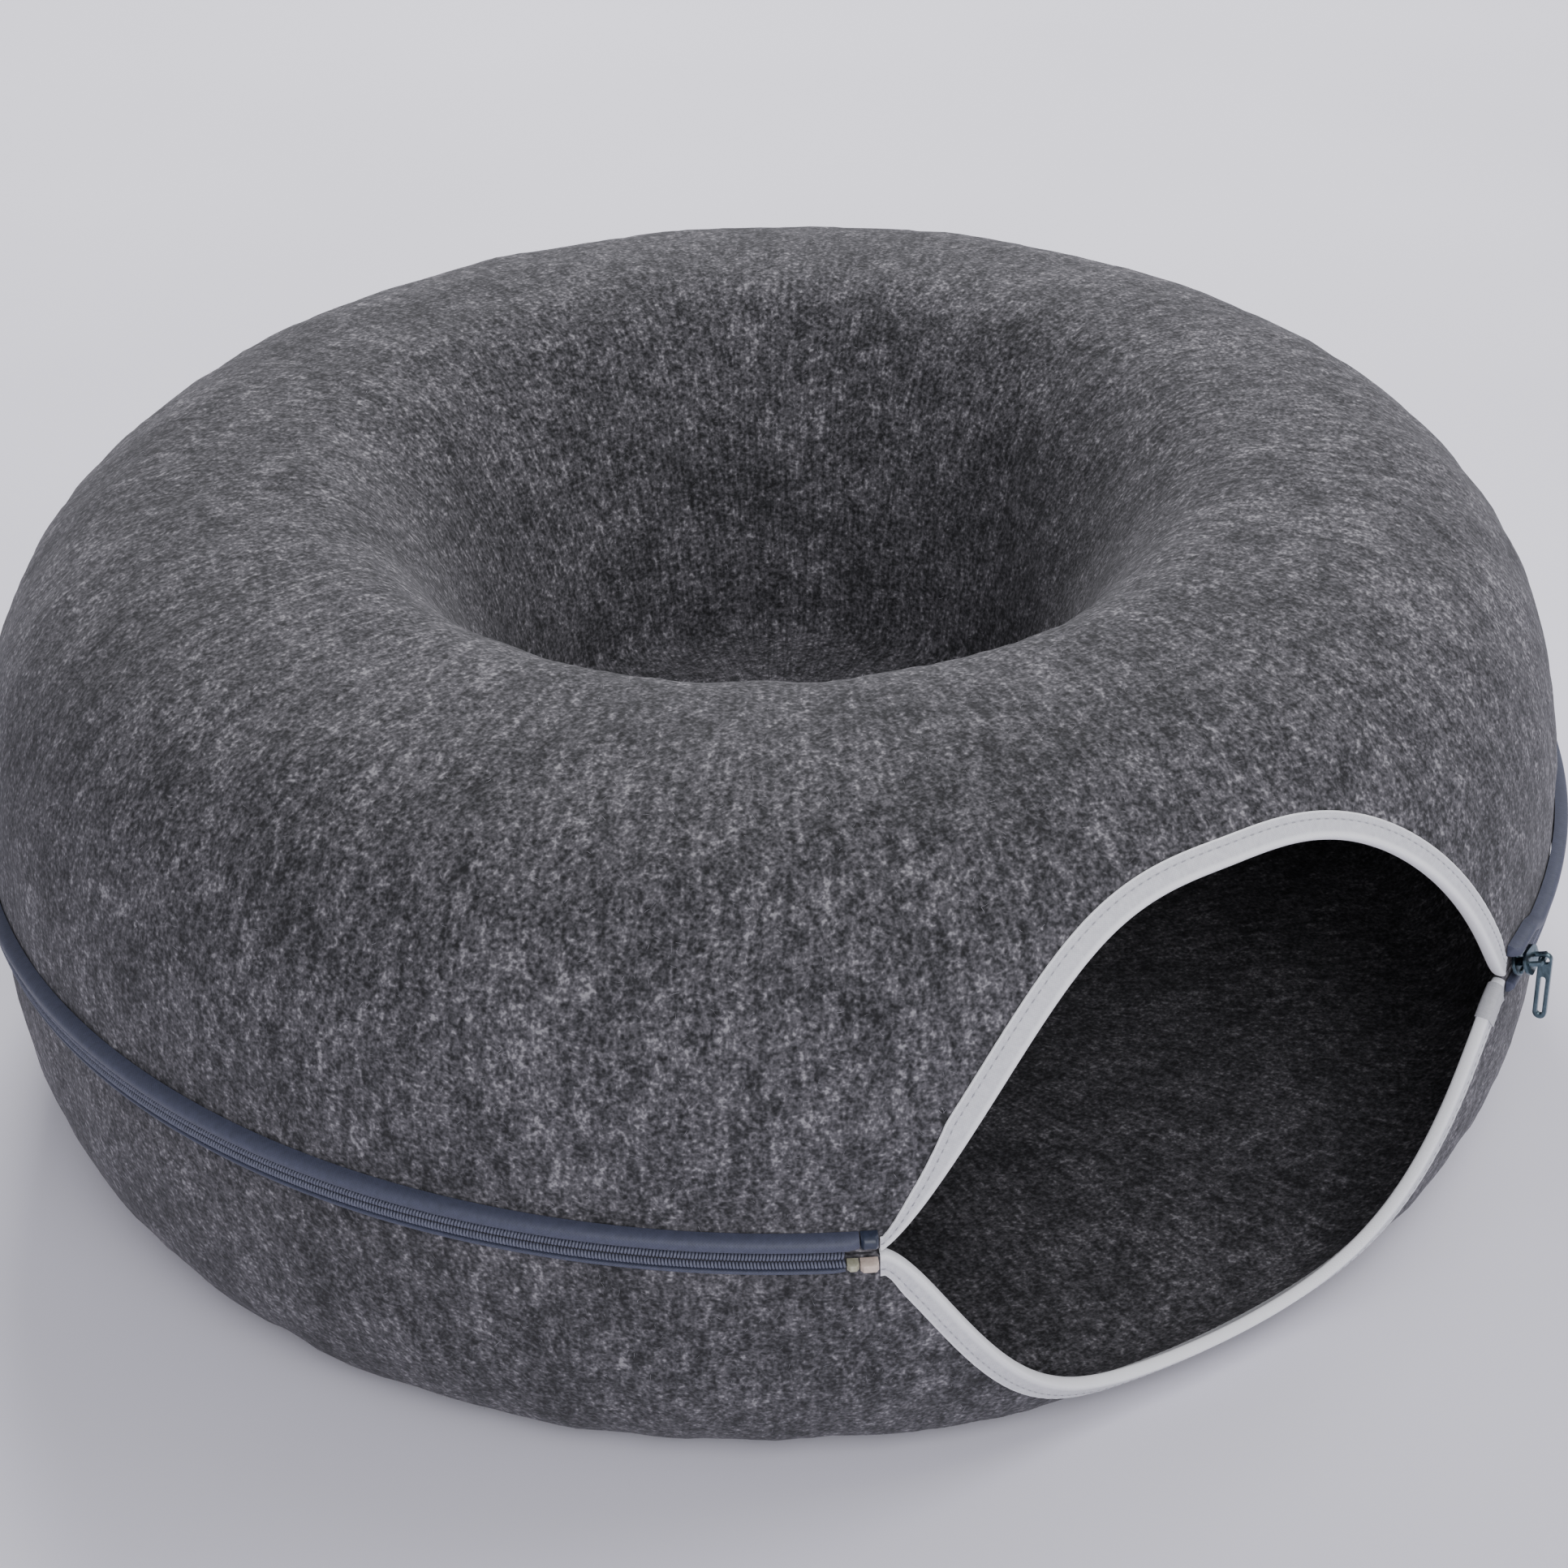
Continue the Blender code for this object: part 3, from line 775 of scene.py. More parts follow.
    def section(self, side: Side, base: float) -> tuple[Array, Array, list[float]]:
        """One shell's section over a zip line at this height.

        Args:
            side: Which shell.
            base: Height of the zip line.

        Returns:
            Runs, their (radius, height) points, and the run at each part's end.
        """
        parts = self.upper_parts(base) if side is Side.UPPER else self.lower_parts(base)
        lengths = [float(np.hypot(*np.diff(part, axis=0).T).sum()) for part in parts]
        points = np.concatenate(parts)
        steps = np.hypot(*np.diff(points, axis=0).T)
        keep = np.concatenate([[True], steps > self.same_point])
        runs = np.concatenate([[0.0], np.cumsum(steps)])[keep]
        return runs, points[keep], list(np.cumsum(lengths))

    def zip_line(self, angle: Array) -> Array:
        """Height of the zip line."""
        return self.zip_height + self.zip_wave * np.cos(2 * (np.asarray(angle) - self.zip_wave_angle))

    def place_in(self, table: Array, side: Side, angle: Array, run: Array) -> Array:
        """A tabulated value, read between its four nearest entries.

        Args:
            table: Values for each zip height and run.
            side: Which shell.
            angle: Angles round Z.
            run: Runs from the zip line, from 0 up.

        Returns:
            The values.
        """
        row = (self.zip_line(angle) - self.bases[0]) / (self.bases[1] - self.bases[0])
        low = np.clip(row.astype(int), 0, len(self.bases) - 2)
        # Held just short of the last entry, so that there is always a next one
        column = np.clip(run / self.run_step, 0, len(self.tables[side][0]) - 1.001)
        left = column.astype(int)
        share, over = row - low, column - left
        near = table[low, left] * (1 - over) + table[low, left + 1] * over
        far = table[low + 1, left] * (1 - over) + table[low + 1, left + 1] * over
        return near * (1 - share) + far * share

    def face(self, side: Side, angle: Array, run: Array) -> Array:
        """Points of a shell's outer face.

        Args:
            side: Which shell.
            angle: Angles round Z.
            run: Runs from the zip line; below 0 they go straight past it.

        Returns:
            The points, one row each.
        """
        angle, run = np.broadcast_arrays(np.asarray(angle, float), np.asarray(run, float))
        _, radii, heights = self.tables[side]
        held = np.maximum(run, 0)
        radius = self.place_in(radii, side, angle, held)
        height = self.place_in(heights, side, angle, held) + side.value * np.minimum(run, 0)
        return np.stack([radius * np.cos(angle), radius * np.sin(angle), height], -1)

    def normal(self, side: Side, angle: Array, run: Array) -> Array:
        """Outward normals of a shell's outer face, at the places that face() takes.

        Args:
            side: Which shell.
            angle: Angles round Z.
            run: Runs from the zip line.

        Returns:
            The normals, one row each.
        """
        angle, run = np.broadcast_arrays(np.asarray(angle, float), np.asarray(run, float))
        step, turn = self.slope_step, self.slope_turn
        along = self.face(side, angle, run + step) - self.face(side, angle, run - step)
        around = self.face(side, angle + turn, run) - self.face(side, angle - turn, run)
        return unit(np.cross(around, along) * side.value)

    def at(self, side: Side, angle: Array, run: Array, depth: Array) -> Array:
        """Points below a shell's outer face, or above it where the depth is negative."""
        deep = np.asarray(depth, float)[..., None]
        return self.face(side, angle, run) - self.normal(side, angle, run) * deep

    def thickness(self, from_edge: Array) -> Array:
        """The felt's thickness at a distance from the entrance's edge, where the ribbon squeezes it."""
        return self.felt - self.squeeze * (1 - smoothstep(np.asarray(from_edge, float) / self.squeeze_over))

    def turn_of(self, length: float) -> float:
        """The angle that a length takes up round the zip line."""
        return length / self.outer_radius

    def share_across(self, angle: Array) -> Array:
        """Place across the entrance, from -1 at its left corner to 1 at its right one."""
        return (np.asarray(angle, float) - self.entrance_angle) / self.entrance_half

    def lip_run(self, side: Side, angle: Array) -> Array:
        """Run of the entrance's finished edge.

        Args:
            side: Which shell.
            angle: Angles round Z.

        Returns:
            The run at each angle.
        """
        across = np.clip(self.share_across(angle), -1, 1)
        if side is Side.UPPER:
            run = self.upper_rise * (1 - np.abs(across) ** self.upper_fullness) ** self.upper_flare
        else:
            skewed = np.minimum(np.abs(across + self.lower_skew * (1 - across**2)), 1)
            run = self.lower_drop * (1 - skewed**self.lower_fullness) ** self.lower_flare
        return np.maximum(run, self.corner_gap / 2)

    def leg(self, side: Side, angle: Array) -> Array:
        """How far the ribbon reaches over either face of the felt.

        Args:
            side: Which shell.
            angle: Angles round Z.

        Returns:
            The length at each angle.
        """
        share = (1 + np.clip(self.share_across(angle), -1, 1)) / 2
        if side is Side.LOWER:
            return np.full_like(share, self.lower_leg)
        full = self.upper_leg_left + (self.upper_leg_right - self.upper_leg_left) * share
        from_left = np.minimum(share * 2 * self.entrance_half * self.outer_radius / self.narrow_over, 1)
        return full * (self.narrow + (1 - self.narrow) * from_left**2)

    def lean(self, side: Side, angle: Array) -> Array:
        """How far the way out of the felt across the lip leans from upright, in radians.

        Args:
            side: Which shell.
            angle: Angles round Z.

        Returns:
            The lean at each angle.
        """
        turn = self.lean_turn
        rise = self.lip_run(side, angle + turn) - self.lip_run(side, angle - turn)
        radius = np.linalg.norm(self.face(side, angle, self.lip_run(side, angle))[..., :2], axis=-1)
        return np.arctan2(rise, 2 * turn * radius)

    def from_edge(self, side: Side, angle: Array, reach: Array) -> tuple[Array, Array]:
        """Angles and runs at a reach past the felt's edge, along the ribbon's section.

        Args:
            side: Which shell.
            angle: Angles of the sections.
            reach: How far past the felt's edge, negative back over the felt.

        Returns:
            The angles and the runs.
        """
        angle, reach = np.broadcast_arrays(np.asarray(angle, float), np.asarray(reach, float))
        inside = np.abs(self.share_across(angle)) < 1 + self.corner_slack
        full = self.lean(side, angle)
        edge = self.lip_run(side, angle) + (self.ribbon + self.ribbon_gap) / np.cos(full)
        corner = (self.entrance_half - np.abs(angle - self.entrance_angle)) * self.outer_radius
        lean = full * np.clip(corner / self.lean_over, 0, 1)
        radius = np.linalg.norm(self.face(side, angle, edge)[..., :2], axis=-1)
        moved = angle + np.sin(lean) * reach / radius
        run = edge - np.cos(lean) * reach
        return np.where(inside, moved, angle), np.where(inside, run, self.parting / 2 - reach)

    def across_entrance(self, count: int) -> Array:
        """Angles across the entrance, closer together towards its corners.

        Args:
            count: How many steps there are from corner to corner.

        Returns:
            The angles.
        """
        across = -np.cos(math.pi * np.arange(count + 1) / count)
        crowded = (1 - self.crowding) * across + self.crowding * across**3
        return self.entrance_angle + self.entrance_half * crowded

    def round_ring(self, count: int) -> Array:
        """Angles round the rest of the ring, from the right corner to the left one.

        Args:
            count: How many steps there are.

        Returns:
            The angles.
        """
        start = self.entrance_angle + self.entrance_half + self.column_gap
        end = self.entrance_angle - self.entrance_half - self.column_gap + TURN
        return np.linspace(start, end, count + 1)


@dataclass(frozen=True)
class Unevenness:
    """Slight hollows and swells, as a sum of waves of random direction and phase."""

    depth: float
    shortest: float
    longest: float
    waves: int = 28
    seed: int = SEED

    def at(self, points: Array) -> Array:
        """Its height at each point.

        Args:
            points: Points in metres, in the last axis.

        Returns:
            The heights in metres.
        """
        draw = np.random.default_rng(self.seed)
        ways = unit(draw.normal(size=(self.waves, 3)))
        lengths = np.exp(draw.uniform(math.log(self.shortest), math.log(self.longest), self.waves))
        phases = draw.uniform(0, TURN, self.waves)
        waves = np.sin(points.reshape(-1, 3) @ (ways / lengths[:, None]).T * TURN + phases)
        total = waves.sum(1) * self.depth / math.sqrt(self.waves / 2)
        return total.reshape(points.shape[:-1])


# ---------------------------------------------------------------- felt shells


@dataclass
class FeltShells:
    """The two moulded shells of felt, as closed sheets of even thickness."""

    form: CaveForm
    across: int = 110
    around: int = 240
    edge_rows: int = 6
    upper_rows: tuple[int, ...] = (44, 30, 8, 10)
    lower_rows: tuple[int, ...] = (34, 6)
    upper_flat: tuple[float, float] = (0.78, 0.78)
    upper_area: float = 0.47
    lower_flat: tuple[float, float] = (0.74, 0.74)
    lower_area: float = 0.41
    even_edge: float = 0.030
    swell: Unevenness = Unevenness(depth=0.00035, shortest=0.022, longest=0.090)
    pucker: Unevenness = Unevenness(depth=0.00010, shortest=0.006, longest=0.014, waves=40, seed=SEED + 1)

    def lattice(self, side: Side) -> tuple[Array, Array]:
        """Angles and runs of a shell's rows, one row of values for each column of the shell.

        Args:
            side: Which shell.

        Returns:
            Angles and runs, one row for each column of the shell.
        """
        form = self.form
        angles = np.concatenate([form.across_entrance(self.across), form.round_ring(self.around)])
        reaches = np.linspace(0, 1, self.edge_rows)
        cells = [form.from_edge(side, angles, -form.leg(side, angles) * reach) for reach in reaches]
        counts = self.upper_rows if side is Side.UPPER else self.lower_rows
        heights = form.zip_line(angles)
        start_angle, start = cells[-1]
        for part, count in enumerate(counts):
            end = np.interp(heights, form.bases, form.ends[side][:, part])
            for step in range(1, count + 1):
                share = step / count
                here = start_angle + (angles - start_angle) * share if part == 0 else angles
                cells.append((here, start + (end - start) * share))
            start = end
        cells = cells[:-1]
        return np.stack([a for a, _ in cells], 1), np.stack([r for _, r in cells], 1)

    def shell(self, side: Side, finish: Material) -> Thing:
        """Build one shell.

        Args:
            side: Which shell.
            finish: Its material.

        Returns:
            The piece.
        """
        form = self.form
        angles, runs = self.lattice(side)
        columns, rows = angles.shape
        face = form.face(side, angles, runs)
        normals = form.normal(side, angles, runs)
        from_edge = runs - runs[:, :1]
        eased = smoothstep(from_edge / self.even_edge)[..., None]
        ripple = (self.swell.at(face) + self.pucker.at(face))[..., None]
        outer = face + normals * ripple * eased
        at_entrance = (np.abs(form.share_across(angles[:, :1])) < 1)[..., None]
        thick = np.where(at_entrance, form.thickness(from_edge)[..., None], form.felt)
        inner = face - normals * (thick + 0.5 * ripple * eased)
        if side is Side.LOWER:
            outer[..., 2] = np.maximum(outer[..., 2], 0.0)
        middle = form.ends[side][:, -1].mean()
        top = form.face(side, np.array([0.0]), np.array([middle]))[0]
        centres = [top, top - np.array([0, 0, form.felt * side.value])]
        points = np.concatenate([outer.reshape(-1, 3), centres[:1], inner.reshape(-1, 3), centres[1:]])
        inside = rows * columns + 1
        faces: Faces = []
        for k in range(columns):
            here, beside = k * rows, (k + 1) % columns * rows
            cells = [(here + r, beside + r, beside + r + 1, here + r + 1) for r in range(rows - 1)]
            cells.append((here + rows - 1, beside + rows - 1, inside - 1))
            for cell in cells:
                faces.append(cell)
                faces.append(tuple(corner + inside for corner in reversed(cell)))
            faces.append((here, here + inside, beside + inside, beside))
        return new_piece(f"{side.word}_felt", (points, faces), finish, sharp=60)

    def build(self, finish: Material) -> None:
        """Build both shells and hide the imported parts that they stand for.

        Args:
            finish: Their material.
        """
        upper = self.shell(Side.UPPER, finish)
        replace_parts(upper, "upper_shell")
        lower = self.shell(Side.LOWER, finish)
        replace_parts(lower, "lower_shell")


# ---------------------------------------------------------------- binding


@dataclass
class Binding:
    """The ribbon folded over the entrance's edge, its stitches, and the tail at the right corner."""

    form: CaveForm
    steps: int = 220
    fold_points: int = 9
    fold_power: float = 0.8
    thickness: float = 0.00055
    gap: float = 0.00030
    tail_gap: float = 0.00015
    # Distance from the woven edge and height over the band: edge, its ridge, the stitched groove
    edge_rows: tuple[tuple[float, float], ...] = (
        (0.0, -0.00010),
        (0.0004, 0.00012),
        (0.0010, 0.00008),
        (0.0023, 0.00006),
        (0.0028, -0.00012),
        (0.0033, 0.00005),
    )
    band_rows: int = 4
    bead: float = 0.00018
    stitch_inset: float = 0.0028
    stitch_length: float = 0.0017
    stitch_gap: float = 0.0018
    stitch_radius: float = 0.00018
    stitch_sunk: float = 0.00008
    # Height over the ribbon and share of the radius along half a stitch, from its end
    stitch_rise: tuple[float, ...] = (-0.00010, 0.00008, 0.00013)
    stitch_taper: tuple[float, ...] = (0.6, 0.95, 1.0)
    stitch_sides: int = 5
    seam_steps: int = 1200
    seam_bare: int = 12
    pucker: float = 0.00007
    tail_start: float = 0.0006
    tail_end: float = 0.0080
    tail_slant: float = 0.0030
    flat_width: float = 0.0235
    flat_least: float = 0.0101

    def leg_rows(self, leg: Array) -> list[tuple[Array, float]]:
        """Distances from the woven edge along one leg, and the heights there.

        Args:
            leg: Length of the leg at each section.

        Returns:
            For each row, its distance at each section and its height over the band.
        """
        rows = [(np.full_like(leg, distance), height) for distance, height in self.edge_rows]
        start, low = self.edge_rows[-1]
        for k in range(1, self.band_rows + 1):
            share = k / self.band_rows
            rows.append((start + (leg - start) * share, low * (1 - share) + self.bead * share**4))
        return rows

    def loop(self, side: Side, angle: Array, lap: float, slant: Array) -> tuple[Array, Array, Array]:
        """Loops round the ribbon's U section.

        Args:
            side: Which shell's edge.
            angle: Angles of the sections.
            lap: How much further out than the felt's gap the ribbon lies.
            slant: How far along the ribbon each section's edge lies past its fold.

        Returns:
            Points (sections, loop, 3), and at each of them the distance from the middle of the fold
            and the distance from the woven edge.
        """
        form = self.form
        near = self.gap + lap
        leg = form.leg(side, angle)
        half = float(form.thickness(0.0)) / 2
        turn = np.linspace(0, math.pi, self.fold_points)[1:-1]
        rows = self.leg_rows(leg)
        past_fold = slant / form.outer_radius
        stitch = self.stitch_length + self.stitch_gap
        wave = self.pucker * np.sin(TURN * angle * form.outer_radius / stitch)
        sheets = []
        for offset, is_outer in ((near + self.thickness, 1), (near, 0)):
            cells = []
            for distance, height in rows:
                share = 1 - distance / leg
                depth = -offset - is_outer * height + wave * share
                cells.append((angle + past_fold * share, distance - leg, depth))
            for t in turn:
                out = offset * abs(math.sin(t)) ** self.fold_power + is_outer * self.bead * math.sin(t)
                deep = half - (half + offset + is_outer * self.bead) * math.cos(t)
                cells.append((angle, np.full_like(leg, out), np.full_like(leg, deep)))
            for distance, height in rows[::-1]:
                share = 1 - distance / leg
                depth = form.thickness(leg - distance) + offset + is_outer * height - wave * share
                cells.append((angle + past_fold * share, distance - leg, depth))
            placed = [(*form.from_edge(side, at, reach), depth) for at, reach, depth in cells]
            sheets.append([form.at(side, *place) for place in placed])
        outer = np.stack(sheets[0], 1)
        steps = np.linalg.norm(np.diff(outer, axis=1), axis=2)
        across = np.concatenate([np.zeros((len(angle), 1)), np.cumsum(steps, axis=1)], axis=1)
        middle = across.shape[1] // 2
        from_fold = np.abs(across - across[:, middle : middle + 1])
        from_edge = np.minimum(across, across[:, -1:] - across)
        both = [np.concatenate([values, values[:, ::-1]], axis=1) for values in (from_fold, from_edge)]
        return np.concatenate([outer, np.stack(sheets[1][::-1], 1)], axis=1), both[0], both[1]

    def band(
        self,
        name: str,
        side: Side,
        angle: Array,
        finish: Material,
        lap: float = 0.0,
        slant: Array | float = 0.0,
    ) -> Thing:
        """Build a stretch of ribbon.

        Args:
            name: Name of the piece.
            side: Which shell's edge.
            angle: Angles of its sections.
            finish: Its material.
            lap: How much further out than the felt's gap it lies.
            slant: How far along the ribbon each section's edge lies past its fold.

        Returns:
            The piece.
        """
        points, from_fold, from_edge = self.loop(side, angle, lap, np.broadcast_to(slant, angle.shape))
        sections, size, _ = points.shape
        solid = (points.reshape(-1, 3), loft_faces(sections, size))
        piece = new_piece(name, solid, finish, sharp=70)
        along = lengths_along(points[:, size // 4])
        lay = np.stack([np.broadcast_to(along[:, None], from_edge.shape), from_edge, from_fold], -1)
        write_lay(piece, lay.reshape(-1, 3), from_edge.ravel())
        return piece

    def stitches(self, side: Side, finish: Material) -> None:
        """Build the row of stitches beside the ribbon's woven edge.

        Args:
            side: Which shell's edge.
            finish: The thread's material.
        """
        form = self.form
        dense = form.across_entrance(self.seam_steps)[self.seam_bare : -self.seam_bare]
        angles, runs = form.from_edge(side, dense, self.stitch_inset - form.leg(side, dense))
        along = lengths_along(form.face(side, angles, runs))
        pitch = self.stitch_length + self.stitch_gap
        depth = self.stitch_sunk - (self.gap + self.thickness)
        rise = np.array(self.stitch_rise + self.stitch_rise[::-1])
        radius = self.stitch_radius * np.array(self.stitch_taper + self.stitch_taper[::-1])
        parts = []
        for k in range(int(along[-1] / pitch)):
            places = k * pitch + np.linspace(0, self.stitch_length, len(rise))
            angle, run = np.interp(places, along, angles), np.interp(places, along, runs)
            parts.append(rod(form.at(side, angle, run, depth - rise), radius, self.stitch_sides))
        solid = joined(parts)
        piece = new_piece(f"{side.word}_binding_stitches", solid, finish)
        write_lay(piece, solid[0][:, [0, 2, 1]])

    def build(self, finish: Material, thread: Material, tail_finish: Material) -> None:
        """Build the two ribbons, their stitches and the tail.

        Args:
            finish: The ribbon's material.
            thread: The stitches' material.
            tail_finish: The tail's material, greyer than the ribbon.
        """
        form = self.form
        for side in Side:
            piece = self.band(f"{side.word}_ribbon", side, form.across_entrance(self.steps), finish)
            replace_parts(piece, f"{side.word}_binding")
            self.stitches(side, thread)
        fine = form.across_entrance(self.steps * 4)
        drop = form.lip_run(Side.LOWER, fine)
        chosen = fine[(fine > form.entrance_angle) & (drop > self.tail_start) & (drop < self.tail_end)]
        share = np.linspace(0, 1, len(chosen))
        slant = self.tail_slant * smoothstep(share * 2 - 1)
        lap = self.thickness + self.tail_gap
        tail = self.band("ribbon_tail", Side.LOWER, chosen, tail_finish, lap=lap, slant=slant)
        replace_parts(tail, "binding_tail")


# ---------------------------------------------------------------- zip


@dataclass(frozen=True)
class ZipFinishes:
    """The materials of the zip's pieces."""

    tape: Material
    coil: Material
    # A near-black strip under the coil, painted shade for the gaps between its turns
    coil_shade: Material
    tape_end: Material
    box: Material
    pin: Material


@dataclass
class Zip:
    """The zip round the ring: two tapes, the coil, the box and pin, and the dark end of the tape."""

    form: CaveForm
    gap: float = 0.00045
    tape_width: float = 0.0056
    tape_bulge: float = 0.0052
    tape_flat: float = 0.0118
    lower_width: float = 0.0020
    lower_bulge: float = 0.0030
    lower_flat: float = 0.0100
    lower_cloth: float = 0.0060
    chain_width: float = 0.0066
    chain_bulge: float = 0.0042
    coil_shade_bulge: float = 0.0024
    corner_clear: float = 0.0008
    tape_flare: float = 0.0045
    flare_length: float = 0.014
    flare_step: float = 0.0012
    flare_steps: int = 50
    box_length: float = 0.0058
    box_top: float = -0.0015
    box_bottom: float = -0.0047
    box_bulge: float = 0.0046
    pin_length: float = 0.0038
    pin_bottom: float = -0.0043
    patch_length: float = 0.0056
    patch_bulge: float = 0.9
    slider_start: float = 0.0026
    slider_length: float = 0.0130
    slider_height: float = 0.0096
    slider_depth: float = 0.0056
    slider_raise: float = 0.0020
    slider_tilt: float = math.radians(20)
    coil_pitch: float = 0.00112
    coil_thread: float = 0.00052
    coil_clear: float = 0.0004
    coil_sides: int = 5
    # One turn, out of the tape, over its crest and down into the join: distance from the zip line
    # and height in mm, way along the zip in pitches, and radius in threads
    coil_rows_mm: tuple[float, ...] = (2.95, 2.65, 2.05, 1.35, 0.75, 0.45)
    coil_lifts_mm: tuple[float, ...] = (1.8, 3.0, 3.75, 3.75, 3.1, 2.2)
    coil_slant: tuple[float, ...] = (0.10, 0.16, 0.05, -0.10, -0.22, -0.25)
    coil_radius: tuple[float, ...] = (0.85, 1.0, 1.0, 1.0, 0.95, 0.8)
    steps: int = 420
    short_steps: int = 24
    pin_steps: int = 20
    strip_points: int = 16
    # A strip's ends keep this share of its bulge, which eases to the whole over a length
    end_bulge: float = 0.72
    end_length: float = 0.0010

    def __post_init__(self) -> None:
        """Work out where each piece starts and ends."""
        form = self.form
        reach = form.entrance_half + form.turn_of(self.corner_clear)
        self.right = form.entrance_angle + reach
        self.left = form.entrance_angle - reach + TURN
        self.slider_end = self.right + form.turn_of(self.slider_start + self.slider_length)
        self.box_start = self.left - form.turn_of(self.box_length)
        self.pin_start = self.box_start - form.turn_of(self.gap + self.pin_length)
        self.patch_start = self.left - form.turn_of(self.patch_length)

    def off_felt(self, angle: Array, height: Array, depth: Array) -> Array:
        """Points beside the zip line.

        Args:
            angle: Angles round Z.
            height: Heights above the zip line along the felt.
            depth: How far the points stand off the felt.

        Returns:
            The points, one row each.
        """
        form = self.form
        angle, height, depth = np.broadcast_arrays(*(np.asarray(v, float) for v in (angle, height, depth)))
        upper = form.face(Side.UPPER, angle, np.maximum(height, 0))
        lower = form.face(Side.LOWER, angle, np.maximum(-height, 0))
        base = np.where((height > 0)[..., None], upper, lower)
        out = np.stack([np.cos(angle), np.sin(angle), np.zeros_like(angle)], -1)
        return base + out * depth[..., None]

    def strip(
        self,
        name: str,
        angle: Array,
        low: Array | float,
        high: Array | float,
        bulge: float,
        finish: Material,
        slot: str,
        power: float = 2.5,
    ) -> Thing:
        """A rounded strip along the zip line.

        Args:
            name: Name of the piece.
            angle: Angles of its sections.
            low: Its lower edge above the zip line, one value or one for each section.
            high: Its upper edge.
            bulge: How far it stands off the felt.
            finish: Its material.
            slot: Not used.
            power: How square its section is; 2 is an ellipse.

        Returns:
            The piece.
        """
        place = -np.cos(math.pi * np.arange(self.strip_points + 1) / self.strip_points)
        rise = np.clip(1 - np.abs(place) ** power, 0, None) ** (1 / power)
        low = np.broadcast_to(low, angle.shape)[:, None]
        high = np.broadcast_to(high, angle.shape)[:, None]
        height = (low + high) / 2 + (high - low) / 2 * place[None]
        # The ends are drawn in a little, so that no cut edge looks knife-sharp
        along = (angle - angle[0]) * self.form.outer_radius
        from_end = np.minimum(along, along[-1] - along)
        drawn = self.end_bulge + (1 - self.end_bulge) * smoothstep(from_end / self.end_length)
        points = self.off_felt(angle[:, None], height, self.gap + bulge * rise[None] * drawn[:, None])
        sections, size, _ = points.shape
        piece = new_piece(name, (points.reshape(-1, 3), loft_faces(sections, size)), finish, sharp=60)
        lay = np.zeros((sections, size, 3))
        lay[..., 0] = along[:, None]
        lay[..., 1] = lengths_along(points[sections // 2])
        write_lay(piece, lay.reshape(-1, 3))
        return piece

    def tape(self, side: Side, start: float, end: float, finish: Material) -> Thing:
        """A tape beside the chain that makes way for the slider.

        Args:
            side: The shell that it is sewn to.
            start: Angle at which it starts.
            end: Angle at which it ends.
            finish: Its material.

        Returns:
            The piece.
        """
        form = self.form
        upper = side is Side.UPPER
        width = self.tape_width if upper else self.lower_width
        bulge = self.tape_bulge if upper else self.lower_bulge
        by_chain = self.chain_width / 2 + self.gap
        half = self.slider_height / 2 * math.cos(self.slider_tilt)
        by_slider = half + side.value * self.slider_raise + self.gap
        if upper:
            by_slider += self.slider_depth * math.sin(self.slider_tilt)
        by_slider = max(by_slider, by_chain)
        close = start + form.turn_of(self.flare_step) * np.arange(self.flare_steps)
        angle = np.unique(np.concatenate([[start, end], close, np.linspace(start, end, self.steps)]))
        angle = angle[(angle >= start) & (angle <= end)]
        share = smoothstep((angle - self.slider_end) / form.turn_of(self.flare_length))
        near = by_slider + (by_chain - by_slider) * share
        far = by_slider + self.tape_flare + (by_chain + width - by_slider - self.tape_flare) * share
        low, high = (near, far) if upper else (-far, -near)
        return self.strip(f"{side.word}_zip_tape", angle, low, high, bulge, finish, "tape")

    def coil(self, finish: Material) -> None:
        """Build the turns of the closed nylon coil, two rows that meet on the zip line.

        Args:
            finish: Its material.
        """
        form = self.form
        clear = form.turn_of(self.gap + self.coil_clear)
        start, end = self.slider_end + clear, self.pin_start - clear
        count = int((end - start) * form.outer_radius / self.coil_pitch)
        places = start + (np.arange(count) + 0.5) / count * (end - start)
        rows = np.array(self.coil_rows_mm) * MM
        lifts = np.array(self.coil_lifts_mm) * MM
        slant = np.array(self.coil_slant) * self.coil_pitch
        radius = self.coil_thread * np.array(self.coil_radius)
        turns = np.arange(self.coil_sides) * TURN / self.coil_sides
        block = loft_faces(len(rows), len(turns))
        parts = []
        for side in Side:
            # The lower row lies half a pitch further, as the two rows mesh
            shift = 0.0 if side is Side.UPPER else 0.5 * self.coil_pitch
            angle = places[:, None] + (slant + shift)[None] / form.outer_radius
            lift = self.gap + lifts[None] - self.coil_thread
            centre = self.off_felt(angle, side.value * rows[None], lift)
            along = np.stack([-np.sin(angle), np.cos(angle), np.zeros_like(angle)], -1)
            other = unit(np.cross(unit(np.gradient(centre, axis=1)), along))
            c, s = np.cos(turns)[:, None], np.sin(turns)[:, None]
            ring = c * along[..., None, :] + s * other[..., None, :]
            points = centre[..., None, :] + ring * radius[None, :, None, None]
            parts += [(turn_points.reshape(-1, 3), block) for turn_points in points]
        new_piece("zip_coil_turns", joined(parts), finish)

